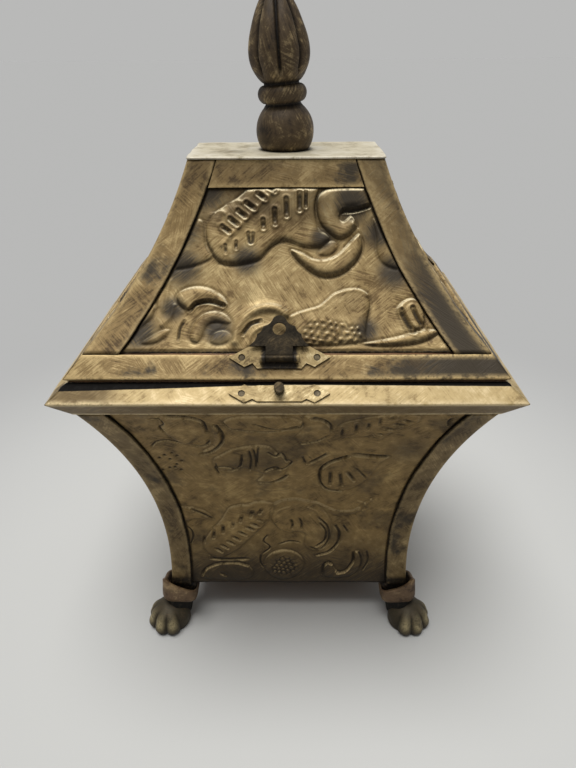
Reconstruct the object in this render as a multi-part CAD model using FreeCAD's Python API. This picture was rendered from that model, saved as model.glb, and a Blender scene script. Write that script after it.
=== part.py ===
import FreeCAD, Part
import math
import os

V = FreeCAD.Vector
CENTRE = V(0, 0, 0)
RIGHT = V(1, 0, 0)
BACK = V(0, 1, 0)
UP = V(0, 0, 1)

# The rim: a pointed moulding round the widest line of the box. Lengths are millimetres.
rim_width = 165.0
rim_depth = 130.0
rim_tip_height = 142.3
bevel_run = 6.4
bevel_rise = 4.7
soffit_run = 6.8
soffit_drop = 8.4
rim_top_depth = 7.5

# The body: four hollow walls that narrow towards the feet.
foot_height = 23.0
body_bottom_inset = 26.0
body_hollow = 7.8
floor_thickness = 6.0

# The lid: four hollow walls that rise to a small flat top.
seam_clearance = 0.3
lid_rise = 66.7
lid_top_depth = 33.4
lid_break_rise = 8.2
lid_break_inset = 11.75
lid_hollow = 3.92
lid_foot_inset = 7.0
lid_foot_width = 6.0
top_board_thickness = 6.0
top_plate_thickness = 0.9
top_plate_overhang = 0.6

# Layers of a side, from the face inwards: nailed strip, pressed sheet, wooden wall.
strip_thickness = 1.0
panel_thickness = 0.8
wall_thickness = 5.0
strip_width = 9.4
strip_gap = 0.4
bed_clearance = 0.05
top_strip_height = 8.9
bottom_strip_thickness = 2.0
bottom_strip_lift = 0.4
mitre_reach_share = 0.95

# The main leaves pressed into the lid's sheets, with their heights. Each outline runs along the wall and up
# from the sheet's foot, in shares of the drawing's size.
leaf_seat = 0.3
leaf_sink = 3.0
leaf_rise = 1.0
leaf_gap = 0.6
right_shift = 9.0
left_shift = 11.0
drawing_size = 100.0
shell_height = 1.5
shell_shares = (
    (-0.02, 0.61), (-0.12, 0.595), (-0.22, 0.525), (-0.28, 0.47), (-0.285, 0.39), (-0.235, 0.323),
    (-0.145, 0.322), (-0.075, 0.36), (-0.015, 0.4), (0.06, 0.378), (0.133, 0.383), (0.145, 0.423),
    (0.105, 0.48), (0.11, 0.56), (0.13, 0.61),
)
curl_height = 1.9
curl_shares = (
    (0.115, 0.56), (0.17, 0.593), (0.255, 0.605), (0.305, 0.545), (0.27, 0.515), (0.205, 0.507),
    (0.2, 0.467), (0.24, 0.47), (0.249, 0.448), (0.216, 0.413), (0.158, 0.42), (0.11, 0.485),
)
crescent_height = 1.9
crescent_shares = (
    (0.015, 0.368), (0.047, 0.323), (0.101, 0.282), (0.147, 0.271), (0.201, 0.286), (0.247, 0.327),
    (0.269, 0.373), (0.26, 0.423), (0.206, 0.377), (0.137, 0.334), (0.092, 0.338),
)
scroll_height = 1.3
scroll_shares = (
    (-0.387, 0.204), (-0.367, 0.227), (-0.327, 0.239), (-0.287, 0.237), (-0.247, 0.221),
    (-0.207, 0.17), (-0.252, 0.185), (-0.317, 0.175), (-0.362, 0.159),
)
grape_bed_height = 1.2
grape_bed_shares = (
    (0.018, 0.132), (0.113, 0.166), (0.173, 0.214), (0.258, 0.228), (0.288, 0.209), (0.285, 0.12),
    (0.258, 0.042), (0.068, 0.042), (0.008, 0.099),
)

# The finial: ball, ring and grooved bud on one turned stick, leaning a little to the left.
finial_lean = 4.0
ball_seat_radius = 7.4
ball_seat_drop = 1.2
ball_radius = 10.5
ball_middle = 7.0
neck_radius = 7.5
ball_top = 14.3
ring_bottom = 15.6
ring_radius = 8.6
ring_middle = 18.4
ring_top = 21.2
bud_foot_radius = 6.9
bud_foot = 22.2
bud_lower_radius = 9.5
bud_lower = 25.8
bud_radius = 10.7
bud_middle = 32.4
bud_upper_radius = 8.5
bud_upper = 40.8
bud_tip_radius = 1.2
finial_height = 52.5
bud_tip = 52.2
groove_count = 8
groove_width = 1.1
groove_foot_radius = 9.0
groove_foot = 24.6
groove_depth = 1.0
groove_head_radius = 4.1
groove_head = 48.4
groove_reach = 14.0
dowel_radius = 3.0
dowel_up = 9.0
dowel_down = 5.6

# A paw foot's bracket round the body's corner: its heights, how far it stands out of the corner, and how far
# it goes in under the body.
lip_height = 14.6
lip_out = 3.4
lip_in = 13.2
bulge_height = 16.8
bulge_out = 4.8
bulge_in = 13.8
bracket_top = 25.0
bracket_top_out = 2.0
bracket_top_in = 15.5
bracket_round = 2.4
bracket_gap = 0.3

# The foot's tongue, ankle, paw and toes, measured outward along the corner's diagonal.
tongue_back = 3.0
tongue_foot = 20.0
tongue_top = 29.6
tongue_thickness = 2.0
tongue_bend = 3.9
tongue_bend_height = 26.6
tongue_front = 4.9
tongue_reach = 4.4
ankle_back = 11.0
ankle_top = 15.4
ankle_front = 2.6
ankle_waist = 1.4
ankle_waist_height = 12.8
ankle_foot = 4.0
ankle_reach = 6.4
paw_centre = 2.2
paw_radius = 9.0
paw_top_radius = 5.2
paw_shoulder_radius = 8.5
paw_shoulder = 7.4
paw_height = 12.0
toe_angles = (-60.0, -20.0, 20.0, 60.0)
toe_radius = 3.6
toe_reach = 7.6
toe_height = 3.5
knuckle_reach = 4.8
knuckle_height = 8.6

# The wood screw that holds each foot, driven down through the floor.
screw_inset = 36.6
screw_radius = 1.6
screw_length = 12.5
screw_head_radius = 3.2
screw_head_height = 1.8

# Small nails of the hasp, the catch and the hinges.
nail_radius = 0.5
nail_length = 3.4
nail_head_radius = 1.1
nail_head_height = 0.4
nail_hole_radius = 1.2

# The hasp: plate on the lid's bottom strip, pin, swinging flap, and catch plate with a hook on the rim.
fitting_thickness = 0.8
hasp_shift = -2.3
hasp_plate_middle = 8.0
hasp_axis_rise = 7.2
hasp_barrel_radius = 1.35
hasp_pin_radius = 0.6
pin_clearance = 0.05
barrel_clearance = 0.35
flap_neck_reach = 4.6
ear_gap = 0.3
ear_width = 1.7
hasp_tab_reach = 10.4
hasp_tab_height = 3.85
hasp_waist_height = 3.85
plate_waist_reach = 7.6
plate_waist_height = 2.9
plate_notch_reach = 9.2
plate_notch_height = 2.0
plate_lobe_reach = 12.0
plate_lobe_height = 3.3
plate_tip_reach = 17.3
plate_nail_reach = 12.9
flap_rest_angle = 46.0
flap_neck_length = 4.3
flap_wing_reach = 10.3
flap_wing_depth = 0.9
flap_scallop_a_reach = 7.6
flap_scallop_a = 8.6
flap_scallop_b_reach = 5.5
flap_scallop_b = 11.4
flap_scallop_c_reach = 2.4
flap_scallop_c = 13.6
flap_length = 15.4
scallop_depth = 0.45
flap_hole_distance = 10.5
flap_hole_radius = 2.3
flap_swing = 187.0
hook_reach = 1.7
hook_rise = 1.9
hook_nose_reach = 0.9
hook_nose = 1.2
hook_drop = 1.9
hook_beyond = 16.0
hook_below = 30.0
catch_middle_share = 0.5

# Two butt hinges on the back, over the seam between lid and rim.
hinge_from_end = 40.5
hinge_length = 20.0
hinge_leaf_thickness = 0.9
hinge_leaf_up = 8.6
hinge_leaf_down = 6.4
hinge_barrel_radius = 1.7
hinge_pin_radius = 0.8
hinge_axis_out = 2.7
hinge_axis_down = 1.0
hinge_knuckle_gap = 0.2
hinge_middle_share = 0.4
hinge_nail_out_share = 0.3
hinge_nail_height_share = 0.62
hinge_web_share = 0.75

# Heights and depths that follow from the sizes above.
half_width = rim_width / 2
half_depth = rim_depth / 2
rim_top = rim_tip_height + bevel_rise
soffit_height = rim_tip_height - soffit_drop
wall_top = rim_top - rim_top_depth
lid_foot = rim_top + seam_clearance
lid_top_inset = half_depth - lid_top_depth / 2
lid_top_height = lid_foot + lid_rise
lid_break_height = lid_foot + lid_break_rise
lid_wall_top = lid_top_height - top_plate_thickness
sheet_depth = strip_thickness + bed_clearance
wood_depth = sheet_depth + panel_thickness
inner_depth = wood_depth + wall_thickness
mitre_reach = mitre_reach_share * min(half_width, half_depth)


def hollow_curve(low, high, hollow):
    """Centre inset, centre height and radius of a hollow arc through two (inset, height) points."""
    run = high[0] - low[0]
    rise = high[1] - low[1]
    chord = math.hypot(run, rise)
    radius = (chord * chord / 4 + hollow * hollow) / (2 * hollow)
    reach = (radius - hollow) / chord
    return ((low[0] + high[0]) / 2 - rise * reach, (low[1] + high[1]) / 2 + run * reach, radius)


def inset_at(curve, depth, height):
    """Inset, at a height, of the arc that lies a depth under the face."""
    radius = curve[2] + depth
    return curve[0] + math.sqrt(radius * radius - (height - curve[1]) ** 2)


def level(curve, depth, height):
    return (inset_at(curve, depth, height), height)


def station(curve, depth, height):
    """Point a depth under the face, square to the face at a height."""
    inset = inset_at(curve, 0, height)
    share = depth / curve[2]
    return (inset + (inset - curve[0]) * share, height + (height - curve[1]) * share)


def arc_to(curve, depth, start, end):
    """A step of an outline: middle and end of an arc of the curve."""
    return (level(curve, depth, (start[1] + end[1]) / 2), end)


body_curve = hollow_curve((body_bottom_inset, foot_height), (soffit_run, soffit_height), body_hollow)
lid_curve = hollow_curve((lid_break_inset, lid_break_height), (lid_top_inset, lid_top_height), lid_hollow)


def outline(start, steps, place):
    """Closed face from a start point and steps, each a point (line) or a pair of points (arc)."""
    edges = []
    here = start
    for step in steps + [start]:
        if isinstance(step[0], tuple):
            edges.append(Part.Arc(place(here), place(step[0]), place(step[1])).toShape())
            here = step[1]
        else:
            edges.append(Part.LineSegment(place(here), place(step)).toShape())
            here = step
    return Part.Face(Part.Wire(edges))


def turned(shape, degrees):
    copy = shape.copy()
    copy.rotate(CENTRE, UP, degrees)
    return copy


# The four sides in order round the box: name, turn from the front, tip distance, half length.
SIDES = (
    ("front", 0.0, half_depth, half_width),
    ("right", 90.0, half_width, half_depth),
    ("back", 180.0, half_depth, half_width),
    ("left", 270.0, half_width, half_depth),
)
CORNERS = ("front_right", "back_right", "back_left", "front_left")

# Leaves of a lid sheet, and how each side repeats the front's: its hand and its shift along the wall.
LEAVES = (
    (shell_height, shell_shares),
    (curl_height, curl_shares),
    (crescent_height, crescent_shares),
    (scroll_height, scroll_shares),
    (grape_bed_height, grape_bed_shares),
)
REPEATS = {"front": (1, 0), "right": (-1, right_shift), "back": (-1, 0), "left": (1, left_shift)}


def side_piece(start, steps, tip, half):
    """A side's cross-section drawn out along the side and mitred at both ends, as the front side."""
    face = outline(start, steps, lambda p: V(-half, p[0] - tip, p[1]))
    bar = face.extrude(RIGHT * (2 * half))
    box = bar.BoundBox
    plan = [V(-half, -tip, 0), V(half, -tip, 0)]
    plan.append(V(half - mitre_reach, mitre_reach - tip, 0))
    plan.append(V(mitre_reach - half, mitre_reach - tip, 0))
    prism = Part.Face(Part.makePolygon(plan + [plan[0]])).extrude(UP * (box.ZMax - box.ZMin))
    prism.translate(UP * box.ZMin)
    return bar.common(prism)


def band(curve, outer, inner, low, high, square_foot):
    """Start and steps of a layer between two depths; its foot is square to the face or level."""
    foot = station if square_foot else level
    a = foot(curve, outer, low)
    b = level(curve, outer, high)
    c = level(curve, inner, high)
    d = foot(curve, inner, low)
    return a, [arc_to(curve, outer, a, b), c, arc_to(curve, inner, c, d)]


def edge_cylinder(curve, tip, half, width, hand):
    """Round a corner line at a width from it, seen square to the side; hand is +1 right, -1 left."""
    radius = curve[2] + width
    return Part.makeCylinder(radius, tip, V(hand * (half - curve[0]), -tip, curve[1]), BACK)


def core(curve, depth, low, high):
    """Board that fills the space between the four walls from one height to another."""
    board = None
    for turn, tip, half in ((0.0, half_depth, half_width), (90.0, half_width, half_depth)):
        a = level(curve, depth, low)
        b = level(curve, depth, high)
        middle = level(curve, depth, (low + high) / 2)
        points = [V(-half, p[0] - tip, p[1]) for p in (a, middle, b)]
        mirror = [V(-half, tip - p[0], p[1]) for p in (b, middle, a)]
        edges = [Part.Arc(*points).toShape(), Part.makeLine(points[2], mirror[0])]
        edges += [Part.Arc(*mirror).toShape(), Part.makeLine(mirror[2], points[0])]
        bar = turned(Part.Face(Part.Wire(edges)).extrude(RIGHT * (2 * half)), turn)
        board = bar if board is None else board.common(bar)
    return board


def one(shape):
    return shape.removeSplitter()


def raised_leaf(height, points, tip, half, hand, shift):
    """A leaf pressed up from a lid sheet: its outline drawn through a layer over the sheet's face."""
    base = lid_curve[2] + sheet_depth
    foot = math.asin((lid_break_height - lid_curve[1]) / base)
    middle = (min(s for x, s in points) + max(s for x, s in points)) / 2
    angle = foot + middle / base

    def on_face(x, s, out):
        inset = lid_curve[0] + (base - out) * math.cos(angle) - (s - middle) * math.sin(angle)
        rise = lid_curve[1] + (base - out) * math.sin(angle) + (s - middle) * math.cos(angle)
        return V(hand * x - shift, inset - tip, rise)

    line = Part.BSplineCurve()
    line.interpolate([on_face(x, s, -leaf_sink) for x, s in points], PeriodicFlag=True)
    through = on_face(0, middle, height + leaf_rise) - on_face(0, middle, -leaf_sink)
    block = Part.Face(Part.Wire(line.toShape())).extrude(through)
    top = lid_wall_top - top_strip_height - leaf_gap
    a, steps = band(lid_curve, sheet_depth - height, sheet_depth + leaf_seat, lid_break_height, top, True)
    layer = side_piece(a, steps, tip, half)
    for side in (1, -1):
        layer = layer.cut(edge_cylinder(lid_curve, tip, half, strip_width + leaf_gap, side))
    return layer.common(block)


parts = {}

# Body and lid walls, pressed sheets and rim, side by side.
lid_break = station(lid_curve, wood_depth, lid_break_height)
lid_foot_point = (lid_foot_inset, lid_foot)
strip_run = lid_break[0] - lid_foot_inset
strip_rise = lid_break[1] - lid_foot
strip_length = math.hypot(strip_run, strip_rise)
strip_slope = math.degrees(math.atan2(strip_rise, strip_run))
strip_along = (strip_run / strip_length, strip_rise / strip_length)


def on_strip(slope, out):
    """Point of the lid's bottom strip: a way up its slope from the wall's foot and a way out of the wall."""
    inset = lid_foot_inset + slope * strip_along[0] - out * strip_along[1]
    return (inset, lid_foot + slope * strip_along[1] + out * strip_along[0])


for name, turn, tip, half in SIDES:
    a, steps = band(body_curve, wood_depth, inner_depth, foot_height, wall_top, False)
    parts["body_%s_wall" % name] = turned(side_piece(a, steps, tip, half), turn)
    a, steps = band(body_curve, sheet_depth, wood_depth, foot_height, soffit_height, False)
    parts["body_%s_panel" % name] = turned(side_piece(a, steps, tip, half), turn)
    steps = [
        (bevel_run, rim_top),
        (inset_at(body_curve, inner_depth, wall_top), rim_top),
        level(body_curve, inner_depth, wall_top),
        level(body_curve, wood_depth, wall_top),
        level(body_curve, wood_depth, soffit_height),
        (soffit_run, soffit_height),
    ]
    parts["rim_%s" % name] = turned(side_piece((0, rim_tip_height), steps, tip, half), turn)
    b = level(lid_curve, wood_depth, lid_wall_top)
    c = level(lid_curve, inner_depth, lid_wall_top)
    d = station(lid_curve, inner_depth, lid_break_height)
    steps = [lid_break, arc_to(lid_curve, wood_depth, lid_break, b), c, arc_to(lid_curve, inner_depth, c, d)]
    steps.append((lid_foot_inset + lid_foot_width, lid_foot))
    parts["lid_%s_wall" % name] = turned(side_piece(lid_foot_point, steps, tip, half), turn)
    a, steps = band(lid_curve, sheet_depth, wood_depth, lid_break_height, lid_wall_top, True)
    sheet = side_piece(a, steps, tip, half)
    hand, shift = REPEATS[name]
    for height, shares in LEAVES:
        points = [(x * drawing_size, s * drawing_size) for x, s in shares]
        leaf = raised_leaf(height, points, tip, half, hand, shift)
        if leaf.Solids:
            sheet = sheet.fuse(leaf)
    parts["lid_%s_panel" % name] = turned(one(sheet), turn)
    steps = [
        on_strip(strip_length, 0),
        on_strip(strip_length, bottom_strip_thickness),
        on_strip(bottom_strip_lift, bottom_strip_thickness),
    ]
    piece = side_piece(on_strip(bottom_strip_lift, 0), steps, tip, half)
    parts["lid_%s_bottom_strip" % name] = turned(piece, turn)
    top_foot = lid_wall_top - top_strip_height
    a, steps = band(lid_curve, 0, strip_thickness, top_foot, lid_wall_top, True)
    piece = side_piece(a, steps, tip, half)
    for hand in (1, -1):
        piece = piece.cut(edge_cylinder(lid_curve, tip, half, strip_width + strip_gap, hand))
    parts["lid_%s_top_strip" % name] = turned(piece, turn)

# Corner strips: two legs folded round each corner.
LAYERS = (
    ("body", body_curve, foot_height, soffit_height, False),
    ("lid", lid_curve, lid_break_height, lid_wall_top, True),
)
for owner, curve, low, high, square_foot in LAYERS:
    legs = {}
    for name, turn, tip, half in SIDES:
        a, steps = band(curve, 0, strip_thickness, low, high, square_foot)
        layer = side_piece(a, steps, tip, half)
        for hand in (1, -1):
            leg = layer.common(edge_cylinder(curve, tip, half, strip_width, hand))
            legs[name, hand] = turned(leg, turn)
    for k, corner in enumerate(CORNERS):
        leg = legs[SIDES[k][0], 1]
        other = legs[SIDES[(k + 1) % len(SIDES)][0], -1]
        parts["%s_%s_strip" % (owner, corner)] = one(leg.fuse(other))

# Floor, top board and the thin plate over the lid's top.
floor_top = foot_height + floor_thickness
floor = core(body_curve, inner_depth, foot_height, floor_top)
top_board = core(lid_curve, inner_depth, lid_wall_top - top_board_thickness, lid_wall_top)
plate_inset = inset_at(lid_curve, 0, lid_wall_top) - top_plate_overhang
plate_x = half_width - plate_inset
plate_y = half_depth - plate_inset
top_plate = Part.makeBox(2 * plate_x, 2 * plate_y, top_plate_thickness, V(-plate_x, -plate_y, lid_wall_top))

# Finial and the dowel it stands on.
seat = V(0, 0, lid_top_height)
flat = lambda p: V(p[0], 0, p[1])
stick = [
    (ball_seat_radius, -ball_seat_drop),
    ((ball_radius, ball_middle), (neck_radius, ball_top)),
    (neck_radius, ring_bottom),
    ((ring_radius, ring_middle), (neck_radius, ring_top)),
    (bud_foot_radius, bud_foot),
    ((bud_lower_radius, bud_lower), (bud_radius, bud_middle)),
    ((bud_upper_radius, bud_upper), (bud_tip_radius, bud_tip)),
    (0, finial_height),
]
finial = outline((0, -ball_seat_drop), stick, flat).revolve(CENTRE, UP, 360)
groove_steps = [
    ((bud_radius - groove_depth, bud_middle), (groove_head_radius, groove_head)),
    (groove_reach, groove_head),
    (groove_reach, groove_foot),
]
groove = outline((groove_foot_radius, groove_foot), groove_steps, flat).extrude(BACK * groove_width)
groove.translate(BACK * (-groove_width / 2))
for k in range(groove_count):
    finial = finial.cut(turned(groove, 360.0 * k / groove_count))
dowel = Part.makeCylinder(dowel_radius, dowel_up + dowel_down, V(0, 0, -dowel_down), UP)
for stick_piece in (finial, dowel):
    stick_piece.rotate(CENTRE, BACK, -finial_lean)
    stick_piece.translate(seat)
under = Part.makeBox(2 * plate_x, 2 * plate_y, top_board_thickness)
under.translate(V(-plate_x, -plate_y, lid_top_height - top_board_thickness))
parts["finial"] = finial.cut(under).cut(dowel)
parts["finial_dowel"] = dowel
parts["lid_top_plate"] = top_plate.cut(dowel)
parts["lid_top_board"] = top_board.cut(dowel)


def toe(angle):
    """A round-ended toe that slopes down and outward from its knuckle, aimed at an angle from +X."""
    aim = V(math.cos(angle), math.sin(angle), 0)
    top = RIGHT * paw_centre + aim * knuckle_reach + UP * knuckle_height
    tip = RIGHT * paw_centre + aim * toe_reach + UP * toe_height
    length = top.distanceToPoint(tip)
    slant = toe_radius * math.sqrt(0.5)
    steps = [
        ((slant, -slant), (toe_radius, 0)),
        (toe_radius, length),
        ((slant, length + slant), (0, length + toe_radius)),
    ]
    solid = outline((0, -toe_radius), steps, lambda p: V(p[0], 0, p[1])).revolve(CENTRE, UP, 360)
    solid.Placement = FreeCAD.Placement(top, FreeCAD.Rotation(UP, tip - top))
    return solid


def bracket_ring(height, out, back):
    """Level ring of a bracket: a square with rounded corners, its outer corner towards +X."""
    near = bracket_round * (1 - math.sqrt(0.5))
    steps = [
        ((out - near, near - back), (out, bracket_round - back)),
        (out, out - bracket_round),
        ((out - near, out - near), (out - bracket_round, out)),
        (bracket_round - back, out),
        ((near - back, out - near), (-back, out - bracket_round)),
        (-back, bracket_round - back),
        ((near - back, near - back), (bracket_round - back, -back)),
    ]
    face = outline((out - bracket_round, -back), steps, lambda p: V(p[0], p[1], height))
    return turned(face, -45).OuterWire


def bar_along_diagonal(start, steps, reach):
    """A side view drawn out square to the diagonal, by the same reach to both sides."""
    return outline(start, steps, lambda p: V(p[0], -reach, p[1])).extrude(BACK * (2 * reach))


def paw_foot():
    """A paw foot at the origin, its toes towards +X, its bracket round the body's corner."""
    rings = [
        bracket_ring(lip_height, lip_out, lip_in),
        bracket_ring(bulge_height, bulge_out, bulge_in),
        bracket_ring(bracket_top, bracket_top_out, bracket_top_in),
    ]
    bracket = Part.makeLoft(rings, True, True)
    tongue = [
        (-tongue_back, tongue_top),
        (tongue_thickness, tongue_top),
        ((tongue_bend, tongue_bend_height), (tongue_front, tongue_foot)),
    ]
    ankle = [
        (ankle_front, ankle_top),
        ((ankle_waist, ankle_waist_height), (ankle_front, paw_height)),
        (ankle_front, ankle_foot),
        (-paw_centre, ankle_foot),
    ]
    dome = [
        (paw_radius, 0),
        ((paw_shoulder_radius, paw_shoulder), (paw_top_radius, paw_height)),
        (0, paw_height),
    ]
    paw = outline((0, 0), dome, lambda p: V(p[0], 0, p[1])).revolve(CENTRE, UP, 360)
    paw.translate(RIGHT * paw_centre)
    pieces = [paw]
    pieces.append(bar_along_diagonal((-tongue_back, tongue_foot), tongue, tongue_reach))
    pieces.append(bar_along_diagonal((-ankle_back, ankle_top), ankle, ankle_reach))
    pieces += [toe(math.radians(angle)) for angle in toe_angles]
    foot = bracket.multiFuse(pieces)
    reach = bracket_top_in + paw_radius + toe_reach
    floor_cut = Part.makeBox(2 * reach, 2 * reach, toe_radius, V(-reach, -reach, -toe_radius))
    return one(foot.cut(floor_cut))


# Feet at the four corners, their screws and the screw holes in floor and feet.
paw = paw_foot()
body_space = core(body_curve, -bracket_gap, foot_height, foot_height + tongue_top)
screws = []
screw_x = half_width - screw_inset
screw_y = half_depth - screw_inset
corner_x = half_width - body_bottom_inset
corner_y = half_depth - body_bottom_inset
PLACES = (("front_right", 1, -1), ("back_right", 1, 1), ("back_left", -1, 1), ("front_left", -1, -1))
for corner, hand_x, hand_y in PLACES:
    foot = turned(paw, math.degrees(math.atan2(hand_y, hand_x)))
    foot.translate(V(hand_x * corner_x, hand_y * corner_y, 0))
    foot = foot.cut(body_space)
    head = V(hand_x * screw_x, hand_y * screw_y, floor_top)
    neck = head - UP * screw_head_height
    cone = Part.makeCone(screw_radius, screw_head_radius, screw_head_height, neck, UP)
    shank = Part.makeCylinder(screw_radius, screw_length, head - UP * screw_length, UP)
    screw = one(cone.fuse(shank))
    screws.append(screw)
    floor = floor.cut(screw)
    parts["foot_%s" % corner] = foot.cut(screw)
parts["floor_board"] = floor
parts["foot_screws"] = Part.Compound(screws)

# Where the hasp and hinges sit: slopes of the bottom strip's face and of the rim's upper bevel.
bevel_slope = math.degrees(math.atan2(bevel_rise, bevel_run))
bevel_length = math.hypot(bevel_run, bevel_rise)
strip_face = on_strip(0, bottom_strip_thickness)


def laid(shape, origin, slope, shift):
    """Stands a flat fitting on the front: its Y runs up a slope from an (inset, height) point."""
    copy = shape.copy()
    copy.rotate(CENTRE, RIGHT, slope)
    copy.translate(V(shift, origin[0] - half_depth, origin[1]))
    return copy


def lobe_edge(waist_height):
    """Right half of a plate's long edge, from its pointed end to its waist."""
    return [
        (plate_lobe_reach, plate_lobe_height),
        (plate_notch_reach, plate_notch_height),
        (plate_waist_reach, waist_height),
    ]


def kite_plate(middle, upper, lower):
    """Thin flat plate with pointed ends and its middle line at y = middle, from its edges' right halves."""
    right = upper[::-1] + [(plate_tip_reach, 0)] + [(x, -y) for x, y in lower]
    points = right + [(-x, y) for x, y in reversed(right)]
    corners = [V(x, y + middle, 0) for x, y in points]
    plate = Part.Face(Part.makePolygon(corners + [corners[0]])).extrude(UP * fitting_thickness)
    for hand in (1, -1):
        place = V(hand * plate_nail_reach, middle, 0)
        hole = Part.makeCylinder(nail_hole_radius, fitting_thickness, place, UP)
        plate = plate.cut(hole)
    return plate


def nail(x, y, foot):
    """A nail whose head sits on a seat at height foot, its shank going down."""
    head = Part.makeCylinder(nail_head_radius, nail_head_height, V(x, y, foot), UP)
    return one(head.fuse(Part.makeCylinder(nail_radius, nail_length, V(x, y, foot - nail_length), UP)))


def rod(radius, start, end, slope, out):
    """A round bar along X between two stations, at a way up the slope and a way out."""
    return Part.makeCylinder(radius, end - start, V(start, slope, out), RIGHT)


# Hasp plate with its two ears, the pin and the nails.
hasp_axis_out = fitting_thickness + barrel_clearance + hasp_barrel_radius
hasp_tabs = [(hasp_tab_reach, hasp_tab_height)]
hasp_plate = kite_plate(hasp_plate_middle, hasp_tabs, lobe_edge(hasp_waist_height))
ear_start = flap_neck_reach + ear_gap
for start in (ear_start, -ear_start - ear_width):
    web = Part.makeBox(ear_width, 2 * hasp_barrel_radius, hasp_axis_out)
    web.translate(V(start, hasp_axis_rise - hasp_barrel_radius, 0))
    ear = rod(hasp_barrel_radius, start, start + ear_width, hasp_axis_rise, hasp_axis_out)
    hasp_plate = hasp_plate.fuse(web).fuse(ear)
pin_end = ear_start + ear_width
hasp_pin = rod(hasp_pin_radius, -pin_end, pin_end, hasp_axis_rise, hasp_axis_out)
hasp_plate = one(hasp_plate).cut(hasp_pin)
parts["hasp_plate"] = laid(hasp_plate, strip_face, strip_slope, hasp_shift)
parts["hasp_pin"] = laid(hasp_pin, strip_face, strip_slope, hasp_shift)
hasp_nails = [nail(hand * plate_nail_reach, hasp_plate_middle, 0) for hand in (1, -1)]
lid_nails = [laid(n, strip_face, strip_slope, hasp_shift) for n in hasp_nails]


def bowed(start, end, depth):
    """Middle of a shallow scallop between two points of the flap's edge, bowed towards the middle."""
    run = end[0] - start[0]
    rise = end[1] - start[1]
    share = depth / math.hypot(run, rise)
    return ((start[0] + end[0]) / 2 - rise * share, (start[1] + end[1]) / 2 + run * share)


def swing_flap():
    """The flap lying flat, its pin along X through the origin and its tip towards +Y."""
    half = [
        (flap_neck_reach, 0),
        (flap_neck_reach, flap_neck_length),
        (flap_wing_reach, flap_neck_length),
        (flap_wing_reach - flap_wing_depth, flap_neck_length + flap_wing_depth),
        (flap_scallop_a_reach, flap_scallop_a),
        (flap_scallop_b_reach, flap_scallop_b),
        (flap_scallop_c_reach, flap_scallop_c),
    ]
    steps = half[1:4]
    for start, end in zip(half[3:-1], half[4:]):
        dip = bowed(start, end, scallop_depth)
        steps.append((dip, end))
    tip = (0, flap_length)
    left = [(-x, y) for x, y in half]
    steps.append((tip, left[-1]))
    for start, end in zip(half[-2:2:-1], half[-1:3:-1]):
        dip = bowed(start, end, scallop_depth)
        steps.append(((-dip[0], dip[1]), (-start[0], start[1])))
    steps += [left[2], left[1], left[0]]
    face = outline(half[0], steps, lambda p: V(p[0], p[1], -fitting_thickness / 2))
    leaf = face.extrude(UP * fitting_thickness)
    place = V(0, flap_hole_distance, -fitting_thickness)
    hole = Part.makeCylinder(flap_hole_radius, 2 * fitting_thickness, place, UP)
    barrel = rod(hasp_barrel_radius, -flap_neck_reach, flap_neck_reach, 0, 0)
    bore = rod(hasp_pin_radius + pin_clearance, -flap_neck_reach, flap_neck_reach, 0, 0)
    return one(leaf.fuse(barrel)).cut(hole).cut(bore)


# Flap at rest, swung up against the lid, and the hook its hole swings over.
hasp_axis = on_strip(hasp_axis_rise, bottom_strip_thickness + hasp_axis_out)
parts["hasp_flap"] = laid(swing_flap(), hasp_axis, flap_rest_angle, hasp_shift)
catch_origin = (0, rim_tip_height)
drop = [
    ((0, -hook_rise), (hook_reach, 0)),
    (hook_nose_reach, hook_nose),
    ((0, hook_drop), (-hook_nose_reach, hook_nose)),
]
bead = outline((-hook_reach, 0), drop, lambda p: V(p[0], flap_hole_distance + p[1], 0))
hook = bead.revolve(CENTRE, RIGHT, hook_beyond + hook_below)
hook = laid(hook, hasp_axis, flap_rest_angle + flap_swing - hook_beyond, hasp_shift)
catch_middle = catch_middle_share * bevel_length
rim_side = Part.makeBox(2 * plate_tip_reach, 2 * bevel_length, bevel_length)
rim_side.translate(V(-plate_tip_reach, -bevel_length / 2, -bevel_length))
hook = hook.cut(laid(rim_side, catch_origin, bevel_slope, hasp_shift))
catch_edge = lobe_edge(plate_waist_height)
catch_plate = laid(kite_plate(catch_middle, catch_edge, catch_edge), catch_origin, bevel_slope, hasp_shift)
parts["catch_hook"] = hook
parts["catch_plate"] = catch_plate.cut(hook)
catch_nails = [nail(hand * plate_nail_reach, catch_middle, 0) for hand in (1, -1)]
box_nails = [laid(n, catch_origin, bevel_slope, hasp_shift) for n in catch_nails]

# Hinges, drawn on the front like the hasp and then turned to the back.
hinge_axis = on_strip(bottom_strip_lift - hinge_axis_down, bottom_strip_thickness + hinge_axis_out)
run = hinge_axis[0] - catch_origin[0]
rise = hinge_axis[1] - catch_origin[1]
bevel_along = (bevel_run / bevel_length, bevel_rise / bevel_length)
rim_axis_slope = run * bevel_along[0] + rise * bevel_along[1]
rim_axis_out = rise * bevel_along[0] - run * bevel_along[1]
lid_axis_slope = bottom_strip_lift - hinge_axis_down
middle_half = hinge_middle_share * hinge_length / 2
end_half = hinge_length / 2
hinge_pin_bore = hinge_pin_radius + pin_clearance


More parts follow.
